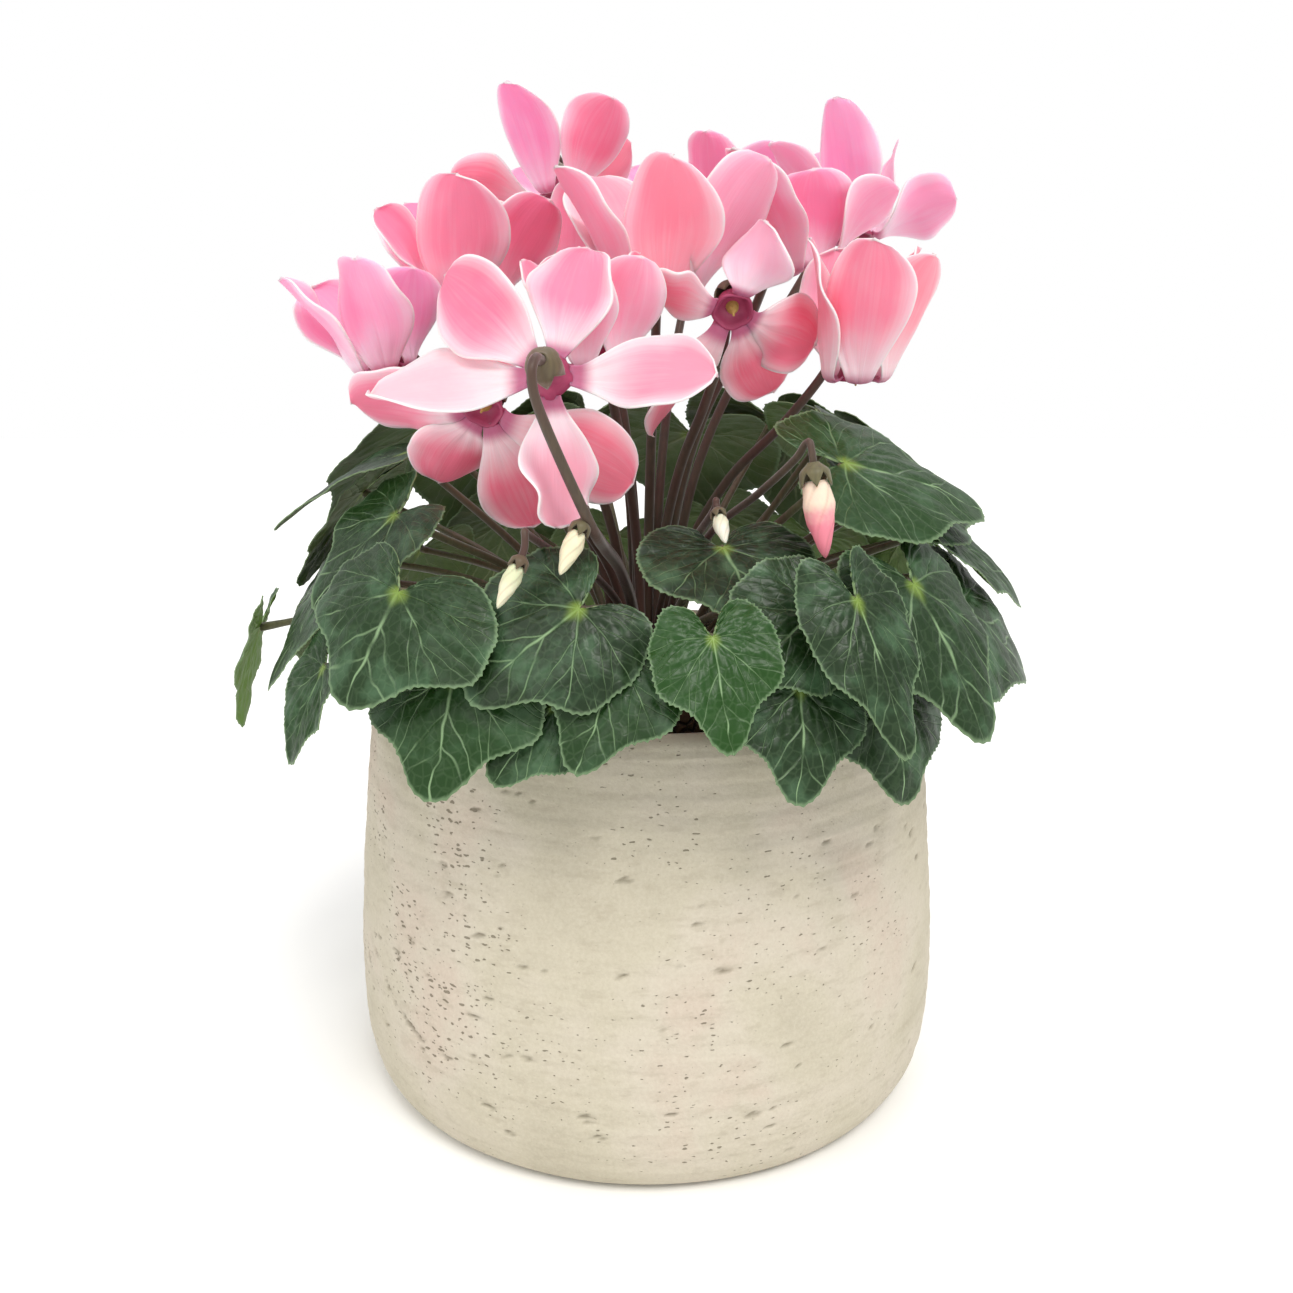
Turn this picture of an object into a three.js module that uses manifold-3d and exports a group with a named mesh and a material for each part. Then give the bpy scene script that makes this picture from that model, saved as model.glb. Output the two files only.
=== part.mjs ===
// A potted cyclamen: a cast cement cover pot, the plastic nursery pot that stands in it, potting soil, the
// tuber with its flower stalks, toothed heart-shaped leaves on their own stalks, nodding blooms with five
// swept-back petals, and buds. Millimetres, +Z up, -Y is the front. The origin is under the pot's middle,
// where it stands. Azimuths are degrees from the front towards +X; elevations are degrees above level.
import * as THREE from "three";
import { mergeVertices } from "three/addons/utils/BufferGeometryUtils.js";
import Module from "manifold-3d";

const wasm = await Module();
wasm.setup();

// ---------------------------------------------------------------- driving dimensions
const DEG = Math.PI / 180;
const CLEAR = 0.3; // running gap between pieces that touch

const COVER_POT = {
  height: 139, rimRadius: 91, bellyRadius: 100, bellyHeight: 38, footRadius: 84,
  wall: 9.5, floor: 10, sides: 36,
};
const NURSERY_POT = {
  height: 115, rimRadius: 71, footRadius: 54, wall: 1.6, lip: 3.5, lipHeight: 8, sides: 24,
  drains: 5, drainRadius: 4.5,
};
const SOIL_TOP = 118;
const TUBER = { radius: 30, top: 131, crownRadius: 27.5, depth: 22, sides: 16 };

// The foliage is a mound: every blade lies along a ball round MOUND_Z, each at its own lift above it.
const MOUND_Z = 100;
const MOUND_RADIUS = 128;
const BLADE_THICKNESS = 1.0;
const PETIOLE_RADIUS = 1.4;
const NOTCH_ANGLE = 152; // the blade spans this far to each side of its tip, and the notch is the rest
const TOOTH = 1.1;
const WAVE = 0.8;
const TOOTH_PAIRS = 7;
const ROOT_RINGS = [ // the petioles stand on three rings of the crown, low leaves on the outer ring
  { radius: 25.2, below: 34 },
  { radius: 19.4, below: 45 },
  { radius: 13.8, below: 91 },
];

const PETAL_THICKNESS = 0.9;
const PETAL_SPACING = 68; // under a fifth of a turn, so that the stalk has room between two petals
const STALK_RADIUS = 1.5;
const STALK_ROOT_SHARE = 0.105; // a stalk stands on the crown at this share of its flower's distance
const MOUTH = { depth: 6, radius: 5, base: 3.8 };
const CALYX = { radius: 4.3, height: 5.5 };

const COLOURS = {
  cement: 0xd8d0c2, nurseryPlastic: 0x1c1d1c, soil: 0x2e241c, stalk: 0x5b4033, leaf: 0x2f5a36,
  petal: 0xf58aa4, bud: 0xeccfc2,
};

// Leaves of the front and sides, one a row: azimuth and elevation of the notch, turn of the tip from straight
// down, length from notch to tip, width, lift, how much further out the tip stands than the notch, and how
// far both sides rise over the midrib.
const FRONT_LEAVES = [
  [-34, 35, -12, 29, 58, 12, 0, -3],
  [-51, 46, -20, 34, 46, 5, 1, 2],
  [-77, 55, -6, 42, 42, 7, 14, 3],
  [-26, 28, 0, 32, 50, 0, 1, -2],
  [-9, 36, -48, 34, 42, 5, 0, -2],
  [-3, 31, -22, 30, 35, 0, 1, 1],
  [-12, 26, -35, 26, 30, -5, 0, 0],
  [8, 32, 5, 26, 28, 9, 0, 0],
  [15, 48, 4, 30, 50, -8, 6, 3],
  [23, 35, -58, 29, 34, 4, 0, 0],
  [26, 34, 8, 36, 26, 16, -1, -3],
  [20, 27, -8, 29, 36, 0, 0, 0],
  [40, 36, 8, 42, 48, 9, 0, -2],
  [34, 25, -5, 29, 44, -2, 1, -1],
  [57, 33, 50, 42, 52, 1, 3, -3],
  [68, 43, 34, 40, 38, 3, 6, 3],
  [60, 51, 66, 42, 44, 3, 10, 2],
  [39, 52, 66, 44, 46, 13, 5, 0],
  [96, 62, 0, 30, 40, 8, 0, 0],
  [-86, 22, 3, 31, 33, 12, -1, 2],
  [-67, 36, -8, 40, 42, 0, 1, 2],
  [-52, 25, -4, 28, 28, 0, 2, 3],
  [92, 50, 0, 30, 38, -4, 0, 0],
  [-98, 44, 0, 38, 46, 9, 0, 0],
];
// The back of the mound, row by row: how many leaves, from and to which azimuth, and their mean shape.
const BACK_ROWS = [
  { count: 8, from: 84, to: 268, notch: 33, length: 40, width: 52, lift: 0, step: 5, tilt: 2 },
  { count: 6, from: 108, to: 256, notch: 53, length: 54, width: 60, lift: 13, step: 5, tilt: 0 },
];

// Blooms: where the calyx meets the flower, which way the mouth faces, how far round from the stalk the third
// petal stands, how far the petals open from straight back, their length, width and outward curl. opens,
// reach, turns and twists set the petals singly, and via is a point that the stalk passes on its way.
const BLOOMS = [
  {
    at: [-25, -98, 237], faces: [0.1, 0.9, -0.35], spin: 134, length: 42, width: 24, curl: 4,
    opens: [101, 84, 84, 84, 90], reach: [0.79, 0.9, 0.72, 0.82, 1.03], turns: [0, 18, 24, 20, -6],
    twists: [60, 30, 20, 30, -45], via: [-14, -99, 198],
  },
  {
    at: [-44, -57, 229], faces: [-0.2, -0.85, -0.5], spin: 180, length: 40, width: 25, curl: 8,
    opens: [78, 76, 60, 88, 92], reach: [0.75, 0.95, 0.6, 1.05, 0.85], turns: [4, -12, 20, 62, 38],
  },
  {
    at: [-78, -36, 243], faces: [0.2, 0.05, -1], spin: 180, length: 38, width: 25, curl: 12,
    opens: [16, 20, 22, 20, 12], reach: [0.85, 0.9, 1, 1, 0.8],
  },
  {
    at: [-56, -19, 260], faces: [0, -0.05, -1], spin: 180, length: 44, width: 28, curl: 12,
    opens: [14, 22, 26, 20, 26], reach: [0.8, 1, 0.85, 1, 0.95],
  },
  {
    at: [-31, 38, 300], faces: [0.1, -0.25, -1], spin: 180, length: 40, width: 23, curl: 14,
    opens: [35, 66, 32, 40, 38], reach: [0.9, 0.85, 1, 0.9, 0.8], twists: [20, -60, 25, 25, 60],
  },
  { at: [4, -36, 262], faces: [0, -0.05, -1], spin: 180, open: 25, length: 47, width: 29, curl: 12 },
  { at: [-23, 9, 265], faces: [0, -0.1, -1], spin: 180, open: 22, length: 40, width: 25, curl: 12 },
  {
    at: [24, -46, 256], faces: [0.05, -0.8, -0.6], spin: 180, length: 36, width: 24, curl: 8,
    opens: [98, 86, 62, 75, 80], reach: [1.1, 0.66, 0.6, 0.7, 0.8], turns: [-22, -16, 10, 40, 14],
    twists: [60, 40, 80, 30, 25],
  },
  {
    at: [48, -6, 273], faces: [0.25, 0, -1], spin: 180, length: 45, width: 29, curl: 12,
    opens: [22, 12, 50, 25, 25], reach: [1.05, 0.7, 0.75, 0.65, 0.95], turns: [16, 6, 0, -8, -16],
  },
  {
    at: [71, 28, 286], faces: [0, -0.2, -0.97], spin: 180, length: 51, width: 26, curl: 14,
    opens: [36, 18, 60, 22, 22], reach: [0.8, 0.9, 0.6, 0.95, 0.9], turns: [-8, -32, 0, 0, 0],
  },
  { at: [61, -43, 240], faces: [0, 0.05, -1], spin: 180, open: 11, length: 43, width: 25, curl: 10 },
  { at: [25, 63, 287], faces: [0, -0.2, -1], spin: 180, open: 28, length: 42, width: 27, curl: 14 },
  { at: [-14, -63, 244], faces: [0, 0.05, -1], spin: 180, open: 12, length: 34, width: 20, curl: 8 },
];
// Buds: where the bud hangs from, which way it points, its length and width, and how far its stalk arches
// over it.
const BUDS = [
  { at: [43, -94, 209], points: [0.15, -0.1, -1], length: 20, width: 8.5, arch: 7 },
  { at: [-17, -101, 197], points: [-0.4, -0.2, -0.9], length: 12, width: 5.6, arch: 5 },
  { at: [-32, -105, 189], points: [-0.45, -0.15, -0.9], length: 12, width: 5, arch: 9 },
  { at: [19, -86, 199], points: [0.2, -0.5, -0.8], length: 8, width: 4.4, arch: 4 },
];

// ---------------------------------------------------------------- small helpers
const { sin, cos, sqrt, abs, max, min, exp, floor } = Math;

// A repeatable draw from 0 to 1 for the n-th draw of the i-th thing.
function draw(i, n) {
  const s = sin(i * 127.1 + n * 311.7) * 43758.5453;
  return s - floor(s);
}

const vary = (i, n, range) => (2 * draw(i, n) - 1) * range;

function smooth(t) {
  const c = min(1, max(0, t));
  return c * c * (3 - 2 * c);
}

// A closed geometry as a solid that can be joined and cut.
function solidOf(geometry) {
  const places = geometry.getAttribute("position").clone();
  const bare = new THREE.BufferGeometry().setAttribute("position", places);
  if (geometry.index) bare.setIndex(geometry.index.clone());
  const merged = mergeVertices(bare, 1e-4);
  return new wasm.Manifold(new wasm.Mesh({
    numProp: 3,
    vertProperties: merged.attributes.position.array,
    triVerts: new Uint32Array(merged.index.array),
  }));
}

function geometryOf(solid) {
  const mesh = solid.getMesh();
  const places = new Float32Array(mesh.numVert * 3);
  for (let i = 0; i < mesh.numVert; i++) {
    places.set(mesh.vertProperties.subarray(i * mesh.numProp, i * mesh.numProp + 3), i * 3);
  }
  return new THREE.BufferGeometry()
    .setAttribute("position", new THREE.BufferAttribute(places, 3))
    .setIndex(new THREE.BufferAttribute(mesh.triVerts, 1));
}

// Joins closed geometries that reach into each other, and drops any scrap.
function fuse(geometries) {
  const whole = geometries.map(solidOf).reduce((a, b) => a.add(b));
  return geometryOf(whole.decompose().reduce((a, b) => (b.volume() > a.volume() ? b : a)));
}

// A solid of revolution about Z, from [radius, height] points.
function turned(points, sides) {
  const profile = points.map(([r, z]) => new THREE.Vector2(r, z));
  return new THREE.LatheGeometry(profile, sides).rotateX(Math.PI / 2);
}

// A round stalk of constant radius along a curve.
function stalkAlong(curve, radius, sides, steps) {
  const corners = Array.from({ length: sides }, (_, i) => {
    const a = (2 * Math.PI * i) / sides;
    return new THREE.Vector2(radius * cos(a), radius * sin(a));
  });
  const section = new THREE.Shape(corners);
  return new THREE.ExtrudeGeometry(section, { steps, extrudePath: curve, bevelEnabled: false });
}

// A thin blade from two faces with the same points and triangles, closed round the given border.
function bladeSolid(upper, lower, triangles, border) {
  const n = upper.length;
  const places = [...upper, ...lower].flatMap((p) => p.toArray());
  const index = [];
  for (const [a, b, c] of triangles) index.push(a, b, c, n + c, n + b, n + a);
  border.forEach((a, i) => {
    const b = border[(i + 1) % border.length];
    index.push(b, a, n + a, b, n + a, n + b);
  });
  return new THREE.BufferGeometry()
    .setAttribute("position", new THREE.Float32BufferAttribute(places, 3))
    .setIndex(index);
}

function node(name, geometry, colour, roughness) {
  const material = new THREE.MeshStandardMaterial({ color: colour, roughness, metalness: 0 });
  const mesh = new THREE.Mesh(geometry, material);
  mesh.name = name;
  return mesh;
}

// ---------------------------------------------------------------- pots and soil
// The cover pot's outside: a rounded foot up to the belly, then a gentle taper to the rim.
function coverRadius(z) {
  const { height, rimRadius, bellyRadius, bellyHeight, footRadius } = COVER_POT;
  if (z >= bellyHeight) {
    return bellyRadius - (bellyRadius - rimRadius) * ((z - bellyHeight) / (height - bellyHeight)) ** 1.5;
  }
  return footRadius + (bellyRadius - footRadius) * (1 - ((bellyHeight - z) / bellyHeight) ** 3) ** (1 / 3);
}

function coverPot() {
  const { height, rimRadius, wall, floor: base, footRadius, sides } = COVER_POT;
  const round = 0.3 * wall;
  const outside = [0, 1.5, 6, 16, 38, 80, height - round].map((z) => [coverRadius(z), z]);
  const rim = [[rimRadius - round, height], [rimRadius - wall + round, height]];
  const inside = [height - round, 40, 18].map((z) => [coverRadius(z) - wall, z]);
  const profile = [[0, 0], ...outside, ...rim, ...inside, [footRadius - wall, base], [0, base]];
  return node("cover_pot", turned(profile, sides), COLOURS.cement, 0.9);
}

const NURSERY_FOOT = COVER_POT.floor + CLEAR;

// The radius of the nursery pot's outside at a height above its foot.
function nurseryRadius(z) {
  const { height, rimRadius, footRadius } = NURSERY_POT;
  return footRadius + ((rimRadius - footRadius) * z) / height;
}

function nurseryPot() {
  const { height, wall, lip, lipHeight, sides, drains, drainRadius, footRadius } = NURSERY_POT;
  const profile = [
    [0, 0], [nurseryRadius(0), 0], [nurseryRadius(height - lipHeight), height - lipHeight],
    [nurseryRadius(height - lipHeight) + lip, height - lipHeight], [nurseryRadius(height) + lip, height],
    [nurseryRadius(height) - wall, height], [nurseryRadius(wall) - wall, wall], [0, wall],
  ];
  let solid = solidOf(turned(profile, sides));
  for (let i = 0; i < drains; i++) {
    const a = (360 / drains) * i * DEG;
    const hole = new THREE.CylinderGeometry(drainRadius, drainRadius, 4 * wall, 8)
      .rotateX(Math.PI / 2)
      .translate(0.62 * footRadius * cos(a), 0.62 * footRadius * sin(a), 0);
    solid = solid.subtract(solidOf(hole));
  }
  const pot = node("nursery_pot", geometryOf(solid), COLOURS.nurseryPlastic, 0.5);
  pot.position.z = NURSERY_FOOT;
  return pot;
}

// The tuber: a squat corm with a flat crown, half above the soil. extra grows it all over for its socket.
function tuberShape(extra) {
  const { radius, top, crownRadius, depth, sides } = TUBER;
  const points = [
    [0, top - depth - extra], [0.7 * radius + extra, top - 0.86 * depth - extra],
    [radius + extra, top - 0.5 * depth], [radius + extra - 0.4, top - 0.2 * depth],
    [crownRadius + extra, top + extra], [0, top + extra],
  ];
  return turned(points, sides);
}

function soil() {
  const { wall, height } = NURSERY_POT;
  const bottom = wall + CLEAR;
  const inner = (z) => nurseryRadius(z) - wall - CLEAR;
  const top = SOIL_TOP - NURSERY_FOOT;
  const profile = [
    [0, bottom], [inner(bottom), bottom], [inner(top - 2), top - 2], [inner(height) - 8, top],
    [TUBER.radius + 8, top + 1.5], [0, top + 2],
  ];
  const plug = turned(profile, NURSERY_POT.sides).translate(0, 0, NURSERY_FOOT);
  return node("soil", geometryOf(solidOf(plug).subtract(solidOf(tuberShape(CLEAR)))), COLOURS.soil, 1);
}

// ---------------------------------------------------------------- leaves
function leafList() {
  const keys = ["azimuth", "elevation", "turn", "length", "width", "lift", "tilt", "fold"];
  const leaves = FRONT_LEAVES.map((row) => Object.fromEntries(row.map((value, i) => [keys[i], value])));
  for (const [r, row] of BACK_ROWS.entries()) {
    for (let i = 0; i < row.count; i++) {
      const seed = 40 + 20 * r + i;
      leaves.push({
        azimuth: row.from + ((row.to - row.from) * (i + 0.5)) / row.count + vary(seed, 1, 2),
        elevation: row.notch + vary(seed, 2, 2),
        turn: vary(seed, 3, 12),
        length: row.length * (1 + vary(seed, 4, 0.07)),
        width: row.width * (1 + vary(seed, 5, 0.07)),
        lift: row.lift + (i % 2) * row.step,
        tilt: row.tilt,
        fold: vary(seed, 6, 3),
      });
    }
  }
  return leaves.map((leaf, i) => ({ ...leaf, seed: i + 1, corner: 0.02 + 0.06 * draw(i + 1, 7) }));
}

// The blade's outline, as a share of its length, at an angle from the tip seen from the notch.
function outline(angle, corner) {
  const a = abs(angle);
  const bump = (centre, spread) => exp(-(((a - centre) / spread) ** 2));
  const heart = 0.6 + 0.1 * cos(a * DEG) + 0.3 * bump(0, 18) + corner * bump(58, 14);
  return heart * sqrt(1 - (a / 158) ** 10);
}

// A point of the blade, in the mound's frame turned so that the leaf's azimuth is +X. reach runs from 0 at
// the notch to 1 at the margin, angle is measured from the tip, and side is +1 on top and -1 underneath.
function bladePoint(leaf, reach, angle, side, tooth = 0) {
  const r = reach * outline(angle, leaf.corner);
  const along = r * cos(angle * DEG) * leaf.length;
  const across = (r * sin(angle * DEG) * leaf.width) / 1.2;
  const far = sqrt(along * along + across * across);
  const heading = Math.atan2(across, along) + leaf.turn * DEG;
  const arc = (far + tooth) / MOUND_RADIUS;
  const el = leaf.elevation * DEG;
  const out = new THREE.Vector3(cos(el), 0, sin(el));
  const down = new THREE.Vector3(sin(el), 0, -cos(el));
  const right = new THREE.Vector3(0, 1, 0);
  const tangent = down.multiplyScalar(cos(heading)).addScaledVector(right, sin(heading));
  const edge = across / (leaf.width / 2);
  const rise = leaf.lift + (leaf.tilt * along) / leaf.length + leaf.fold * edge * edge
    + WAVE * reach * reach * sin(3 * angle * DEG + 6.3 * draw(leaf.seed, 8));
  const radius = MOUND_RADIUS + rise + (side * BLADE_THICKNESS) / 2;
  return out.multiplyScalar(cos(arc)).addScaledVector(tangent, sin(arc)).multiplyScalar(radius);
}

function blade(leaf) {
  const half = TOOTH_PAIRS;
  const innerReach = 0.55;
  const angleAt = (i, count) => NOTCH_ANGLE * ((2 * i) / count - 1);
  const face = (side) => {
    const points = [bladePoint(leaf, 0, 0, side)];
    for (let i = 0; i <= half; i++) points.push(bladePoint(leaf, innerReach, angleAt(i, half), side));
    for (let i = 0; i <= 2 * half; i++) {
      points.push(bladePoint(leaf, 1, angleAt(i, 2 * half), side, i % 2 ? TOOTH : 0));
    }
    return points;
  };
  const inner = (i) => 1 + i;
  const outer = (i) => 2 + half + i;
  const triangles = [];
  for (let i = 0; i < half; i++) {
    triangles.push([0, inner(i), inner(i + 1)]);
    triangles.push([inner(i), outer(2 * i), outer(2 * i + 1)]);
    triangles.push([inner(i), outer(2 * i + 1), inner(i + 1)]);
    triangles.push([inner(i + 1), outer(2 * i + 1), outer(2 * i + 2)]);
  }
  const border = [0, inner(0), ...Array.from({ length: 2 * half + 1 }, (_, i) => outer(i)), inner(half)];
  return bladeSolid(face(1), face(-1), triangles, border);
}

// The petiole: up from its place on the crown, then over to the notch, in the leaf's own turned frame.
function petioleCurve(leaf) {
  const el = leaf.elevation * DEG;
  const root = leaf.root;
  const turn = (root.azimuth - leaf.azimuth) * DEG;
  const foot = TUBER.top + 3 * CLEAR - MOUND_Z;
  const start = new THREE.Vector3(root.radius * cos(turn), root.radius * sin(turn), foot);
  const end = new THREE.Vector3(cos(el), 0, sin(el)).multiplyScalar(MOUND_RADIUS + leaf.lift);
  const arrival = (1.6 * leaf.elevation - 45) * DEG;
  const chord = start.distanceTo(end);
  const rise = new THREE.Vector3(0.35 * cos(turn), 0.35 * sin(turn), 1).normalize();
  const first = start.clone().addScaledVector(rise, 0.42 * chord);
  const last = end.clone().sub(new THREE.Vector3(cos(arrival), 0, sin(arrival)).multiplyScalar(0.36 * chord));
  return new THREE.CubicBezierCurve3(start, first, last, end);
}

// Gives each leaf its place on the crown: on its ring, near its own azimuth, with room beside its neighbours.
function rootLeaves(leaves) {
  for (const ring of ROOT_RINGS) {
    const group = leaves.filter((leaf) => !leaf.root && leaf.elevation < ring.below);
    group.sort((a, b) => a.azimuth - b.azimuth);
    for (const leaf of group) leaf.root = { radius: ring.radius, azimuth: leaf.azimuth };
    const room = (2 * PETIOLE_RADIUS + 3 * CLEAR) / ring.radius / DEG;
    for (let pass = 0; pass < 60; pass++) {
      for (let i = 0; i + 1 < group.length; i++) {
        const [a, b] = [group[i].root, group[i + 1].root];
        const push = max(0, room - (b.azimuth - a.azimuth)) / 2;
        a.azimuth -= push;
        b.azimuth += push;
      }
    }
  }
}

function leaves() {
  const mound = new THREE.Group();
  mound.position.z = MOUND_Z;
  const list = leafList();
  rootLeaves(list);
  for (const leaf of list) {
    const petiole = stalkAlong(petioleCurve(leaf), PETIOLE_RADIUS, 4, 3);
    const name = "leaf_" + String(leaf.seed).padStart(2, "0");
    const mesh = node(name, fuse([blade(leaf), petiole]), COLOURS.leaf, 0.6);
    mesh.rotation.z = (leaf.azimuth - 90) * DEG;
    mound.add(mesh);
  }
  return mound;
}

// ---------------------------------------------------------------- flower stalks
const vector = (a) => new THREE.Vector3(...a);

// A flower's own frame: z back from its mouth, x towards the side where its stalk comes up.
function flowerFrame(at, faces) {
  const back = vector(faces).normalize().negate();
  const towardsCrown = new THREE.Vector3(0, 0, TUBER.top - 60).sub(vector(at));
  const side = towardsCrown.addScaledVector(back, -towardsCrown.dot(back)).normalize();
  const across = new THREE.Vector3().crossVectors(back, side);
  return { back, side, across };
}

// The stalk's course: up from the crown among the leaves, then a hook into the back of the calyx. The hook
// starts at its foot, on the crown's side of the flower: out behind it by outward, and below it by drop.
function stalkPoints(at, faces, { size, outward = 0, drop, via }) {
  const { back, side } = flowerFrame(at, faces);
  const root = new THREE.Vector3(at[0] * STALK_ROOT_SHARE, at[1] * STALK_ROOT_SHARE, TUBER.top - 3);
  const end = vector(at).addScaledVector(back, 0.7 * size);
  const foot = vector(at).addScaledVector(side, 2 * size).addScaledVector(back, outward);
  foot.z -= drop;
  const first = via ? vector(via) : foot;
  const lean = first.clone().sub(root).normalize();
  const height = first.z - root.z;
  const stem = new THREE.CubicBezierCurve3(
    root,
    root.clone().add(new THREE.Vector3(0, 0, 0.72 * height)),
    first.clone().addScaledVector(lean, -0.25 * height),
    first,
  );
  const rise = via ? foot.clone().sub(first).normalize() : lean;
  const hook = new THREE.CubicBezierCurve3(
    foot,
    foot.clone().addScaledVector(rise, 2.2 * size),
    end.clone().addScaledVector(back, 2.2 * size),
    end,
  );
  return [...stem.getPoints(4), ...hook.getPoints(4).slice(via ? 0 : 1)];
}

function placed(geometry, at, faces) {
  const { back, side, across } = flowerFrame(at, faces);
  const frame = new THREE.Matrix4().makeBasis(side, across, back).setPosition(vector(at));
  return geometry.applyMatrix4(frame);
}

// The tuber and every stalk that grows from it, with the calyx at each stalk's end.
function crown() {
  const parts = [tuberShape(0)];
  const calyx = (size) => turned(
    [[0, CLEAR], [CALYX.radius * size, CLEAR], [CALYX.radius * size, 1.6 * size],
      [0.55 * CALYX.radius * size, 0.8 * CALYX.height * size], [0, CALYX.height * size]], 5);
  BLOOMS.forEach(({ at, faces, via }) => {
    const course = { size: 5, outward: via ? 7.5 : 0, drop: 5, via };
    const curve = new THREE.CatmullRomCurve3(stalkPoints(at, faces, course));
    parts.push(stalkAlong(curve, STALK_RADIUS, 5, 9), placed(calyx(1), at, faces));
  });
  BUDS.forEach(({ at, points, width, arch }) => {
    const size = width / 10;
    const curve = new THREE.CatmullRomCurve3(stalkPoints(at, points, { size: 4.5 * size, drop: -arch }));
    parts.push(stalkAlong(curve, 0.8 * STALK_RADIUS, 5, 8), placed(calyx(size), at, points));
  });
  return node("tuber_and_flower_stalks", fuse(parts), COLOURS.stalk, 0.7);
}

// ---------------------------------------------------------------- blooms and buds
// Half the petal's width at a share of its length: a narrow claw, widest past the middle, a blunt point.
function petalHalfWidth(u, width) {
  const claw = 0.22 + 0.78 * smooth(u / 0.6);
  const tip = u > 0.62 ? sqrt(max(0, 1 - ((u - 0.62) / 0.38) ** 2.4)) : 1;
  return (width / 2) * claw * tip;
}

// The petal's centre line in its own radial plane: out of the mouth, back over its rim, then along.
function petalCentre(bloom, petal, u) {
  const steps = 40;
  const back = 180 - petal.open;
  let out = MOUTH.radius;
  let up = -MOUTH.depth;
  let angle = 50;
  for (let i = 0; i < steps * u - 1e-9; i++) {
    const t = (i + 0.5) / steps;
    angle = 50 + (back - 50) * smooth(t / 0.17) - bloom.curl * smooth((t - 0.3) / 0.7);
    out += (petal.length / steps) * sin(angle * DEG);
    up -= (petal.length / steps) * cos(angle * DEG);
  }
  return { out, up, angle: angle * DEG };
}

function petalPoint(bloom, petal, u, v, side) {
  const { out, up, angle } = petalCentre(bloom, petal, u);
  const centre = new THREE.Vector3(out, 0, up);
  const alongPetal = new THREE.Vector3(sin(angle), 0, -cos(angle));
  const across = new THREE.Vector3(0, 1, 0);
  const normal = new THREE.Vector3().crossVectors(across, alongPetal);
  const twist = petal.twist * DEG * smooth((u - 0.08) / 0.7);
  const widthways = across.clone().multiplyScalar(cos(twist)).addScaledVector(normal, sin(twist));
  const face = normal.multiplyScalar(cos(twist)).addScaledVector(across, -sin(twist));
  const half = petalHalfWidth(u, bloom.width);
  const cup = 0.22 * half * v * v;
  return centre.addScaledVector(widthways, v * half)
    .addScaledVector(face, -cup + (side * PETAL_THICKNESS) / 2)
    .applyAxisAngle(new THREE.Vector3(0, 0, 1), petal.around * DEG);
}

function petalBlade(bloom, petal) {
  const stations = [0, 0.11, 0.24, 0.52, 0.82];
  const columns = [-1, 0, 1];
  const face = (side) => [
    ...stations.flatMap((u) => columns.map((v) => petalPoint(bloom, petal, u, v, side))),
    petalPoint(bloom, petal, 1, 0, side),
  ];
  const at = (row, column) => row * columns.length + column;
  const last = stations.length - 1;
  const tip = stations.length * columns.length;
  const triangles = [];
  for (let row = 0; row < last; row++) {
    for (let c = 0; c < 2; c++) {
      triangles.push([at(row, c), at(row, c + 1), at(row + 1, c + 1)]);
      triangles.push([at(row, c), at(row + 1, c + 1), at(row + 1, c)]);
    }
  }
  triangles.push([at(last, 0), at(last, 1), tip], [at(last, 1), at(last, 2), tip]);
  const border = [
    at(0, 0), at(0, 1), at(0, 2), ...Array.from({ length: last }, (_, i) => at(i + 1, 2)), tip,
    ...Array.from({ length: last }, (_, i) => at(last - i, 0)),
  ];
  return bladeSolid(face(1), face(-1), triangles, border);
}

function petalsOf(bloom, index) {
  const seed = 200 + 10 * index;
  return [0, 1, 2, 3, 4].map((k) => ({
    around: bloom.spin + PETAL_SPACING * (k - 2) + vary(seed + k, 1, 3) + (bloom.turns ? bloom.turns[k] : 0),
    open: bloom.opens ? bloom.opens[k] : bloom.open + vary(seed + k, 2, 7),
    twist: bloom.twists ? bloom.twists[k] : 28 + vary(seed + k, 3, 16),
    length: bloom.length * (bloom.reach ? bloom.reach[k] : 1 + vary(seed + k, 4, 0.06)),
  }));
}

function bloomNode(bloom, index) {
  const mouth = turned(
    [[0, -0.6 * MOUTH.depth], [0.6 * MOUTH.radius, -0.7 * MOUTH.depth],
      [MOUTH.radius + 1, -MOUTH.depth - 0.6], [MOUTH.base, 0], [0, 0]], 6);
  const petals = petalsOf(bloom, index).map((petal) => petalBlade(bloom, petal));
  const name = "bloom_" + String(index + 1).padStart(2, "0");
  return node(name, placed(fuse([mouth, ...petals]), bloom.at, bloom.faces), COLOURS.petal, 0.6);
}

function budNode(bud, index) {
  const { length, width, at, points } = bud;
  const profile = [
    [0, -length], [0.2 * width, -0.86 * length], [0.42 * width, -0.55 * length],
    [0.5 * width, -0.3 * length], [0.4 * width, -0.06 * length], [0.34 * width, 0], [0, 0],
  ];
  return node("bud_" + (index + 1), placed(turned(profile, 6), at, points), COLOURS.bud, 0.6);
}

// ---------------------------------------------------------------- the whole plant in its pots
const cyclamen = new THREE.Group();
cyclamen.add(coverPot(), nurseryPot(), soil(), crown(), leaves());
BLOOMS.forEach((bloom, i) => cyclamen.add(bloomNode(bloom, i)));
BUDS.forEach((bud, i) => cyclamen.add(budNode(bud, i)));

export default cyclamen;
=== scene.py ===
import math
from functools import partial

import bpy
import numpy as np
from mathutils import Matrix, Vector, noise


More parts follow.
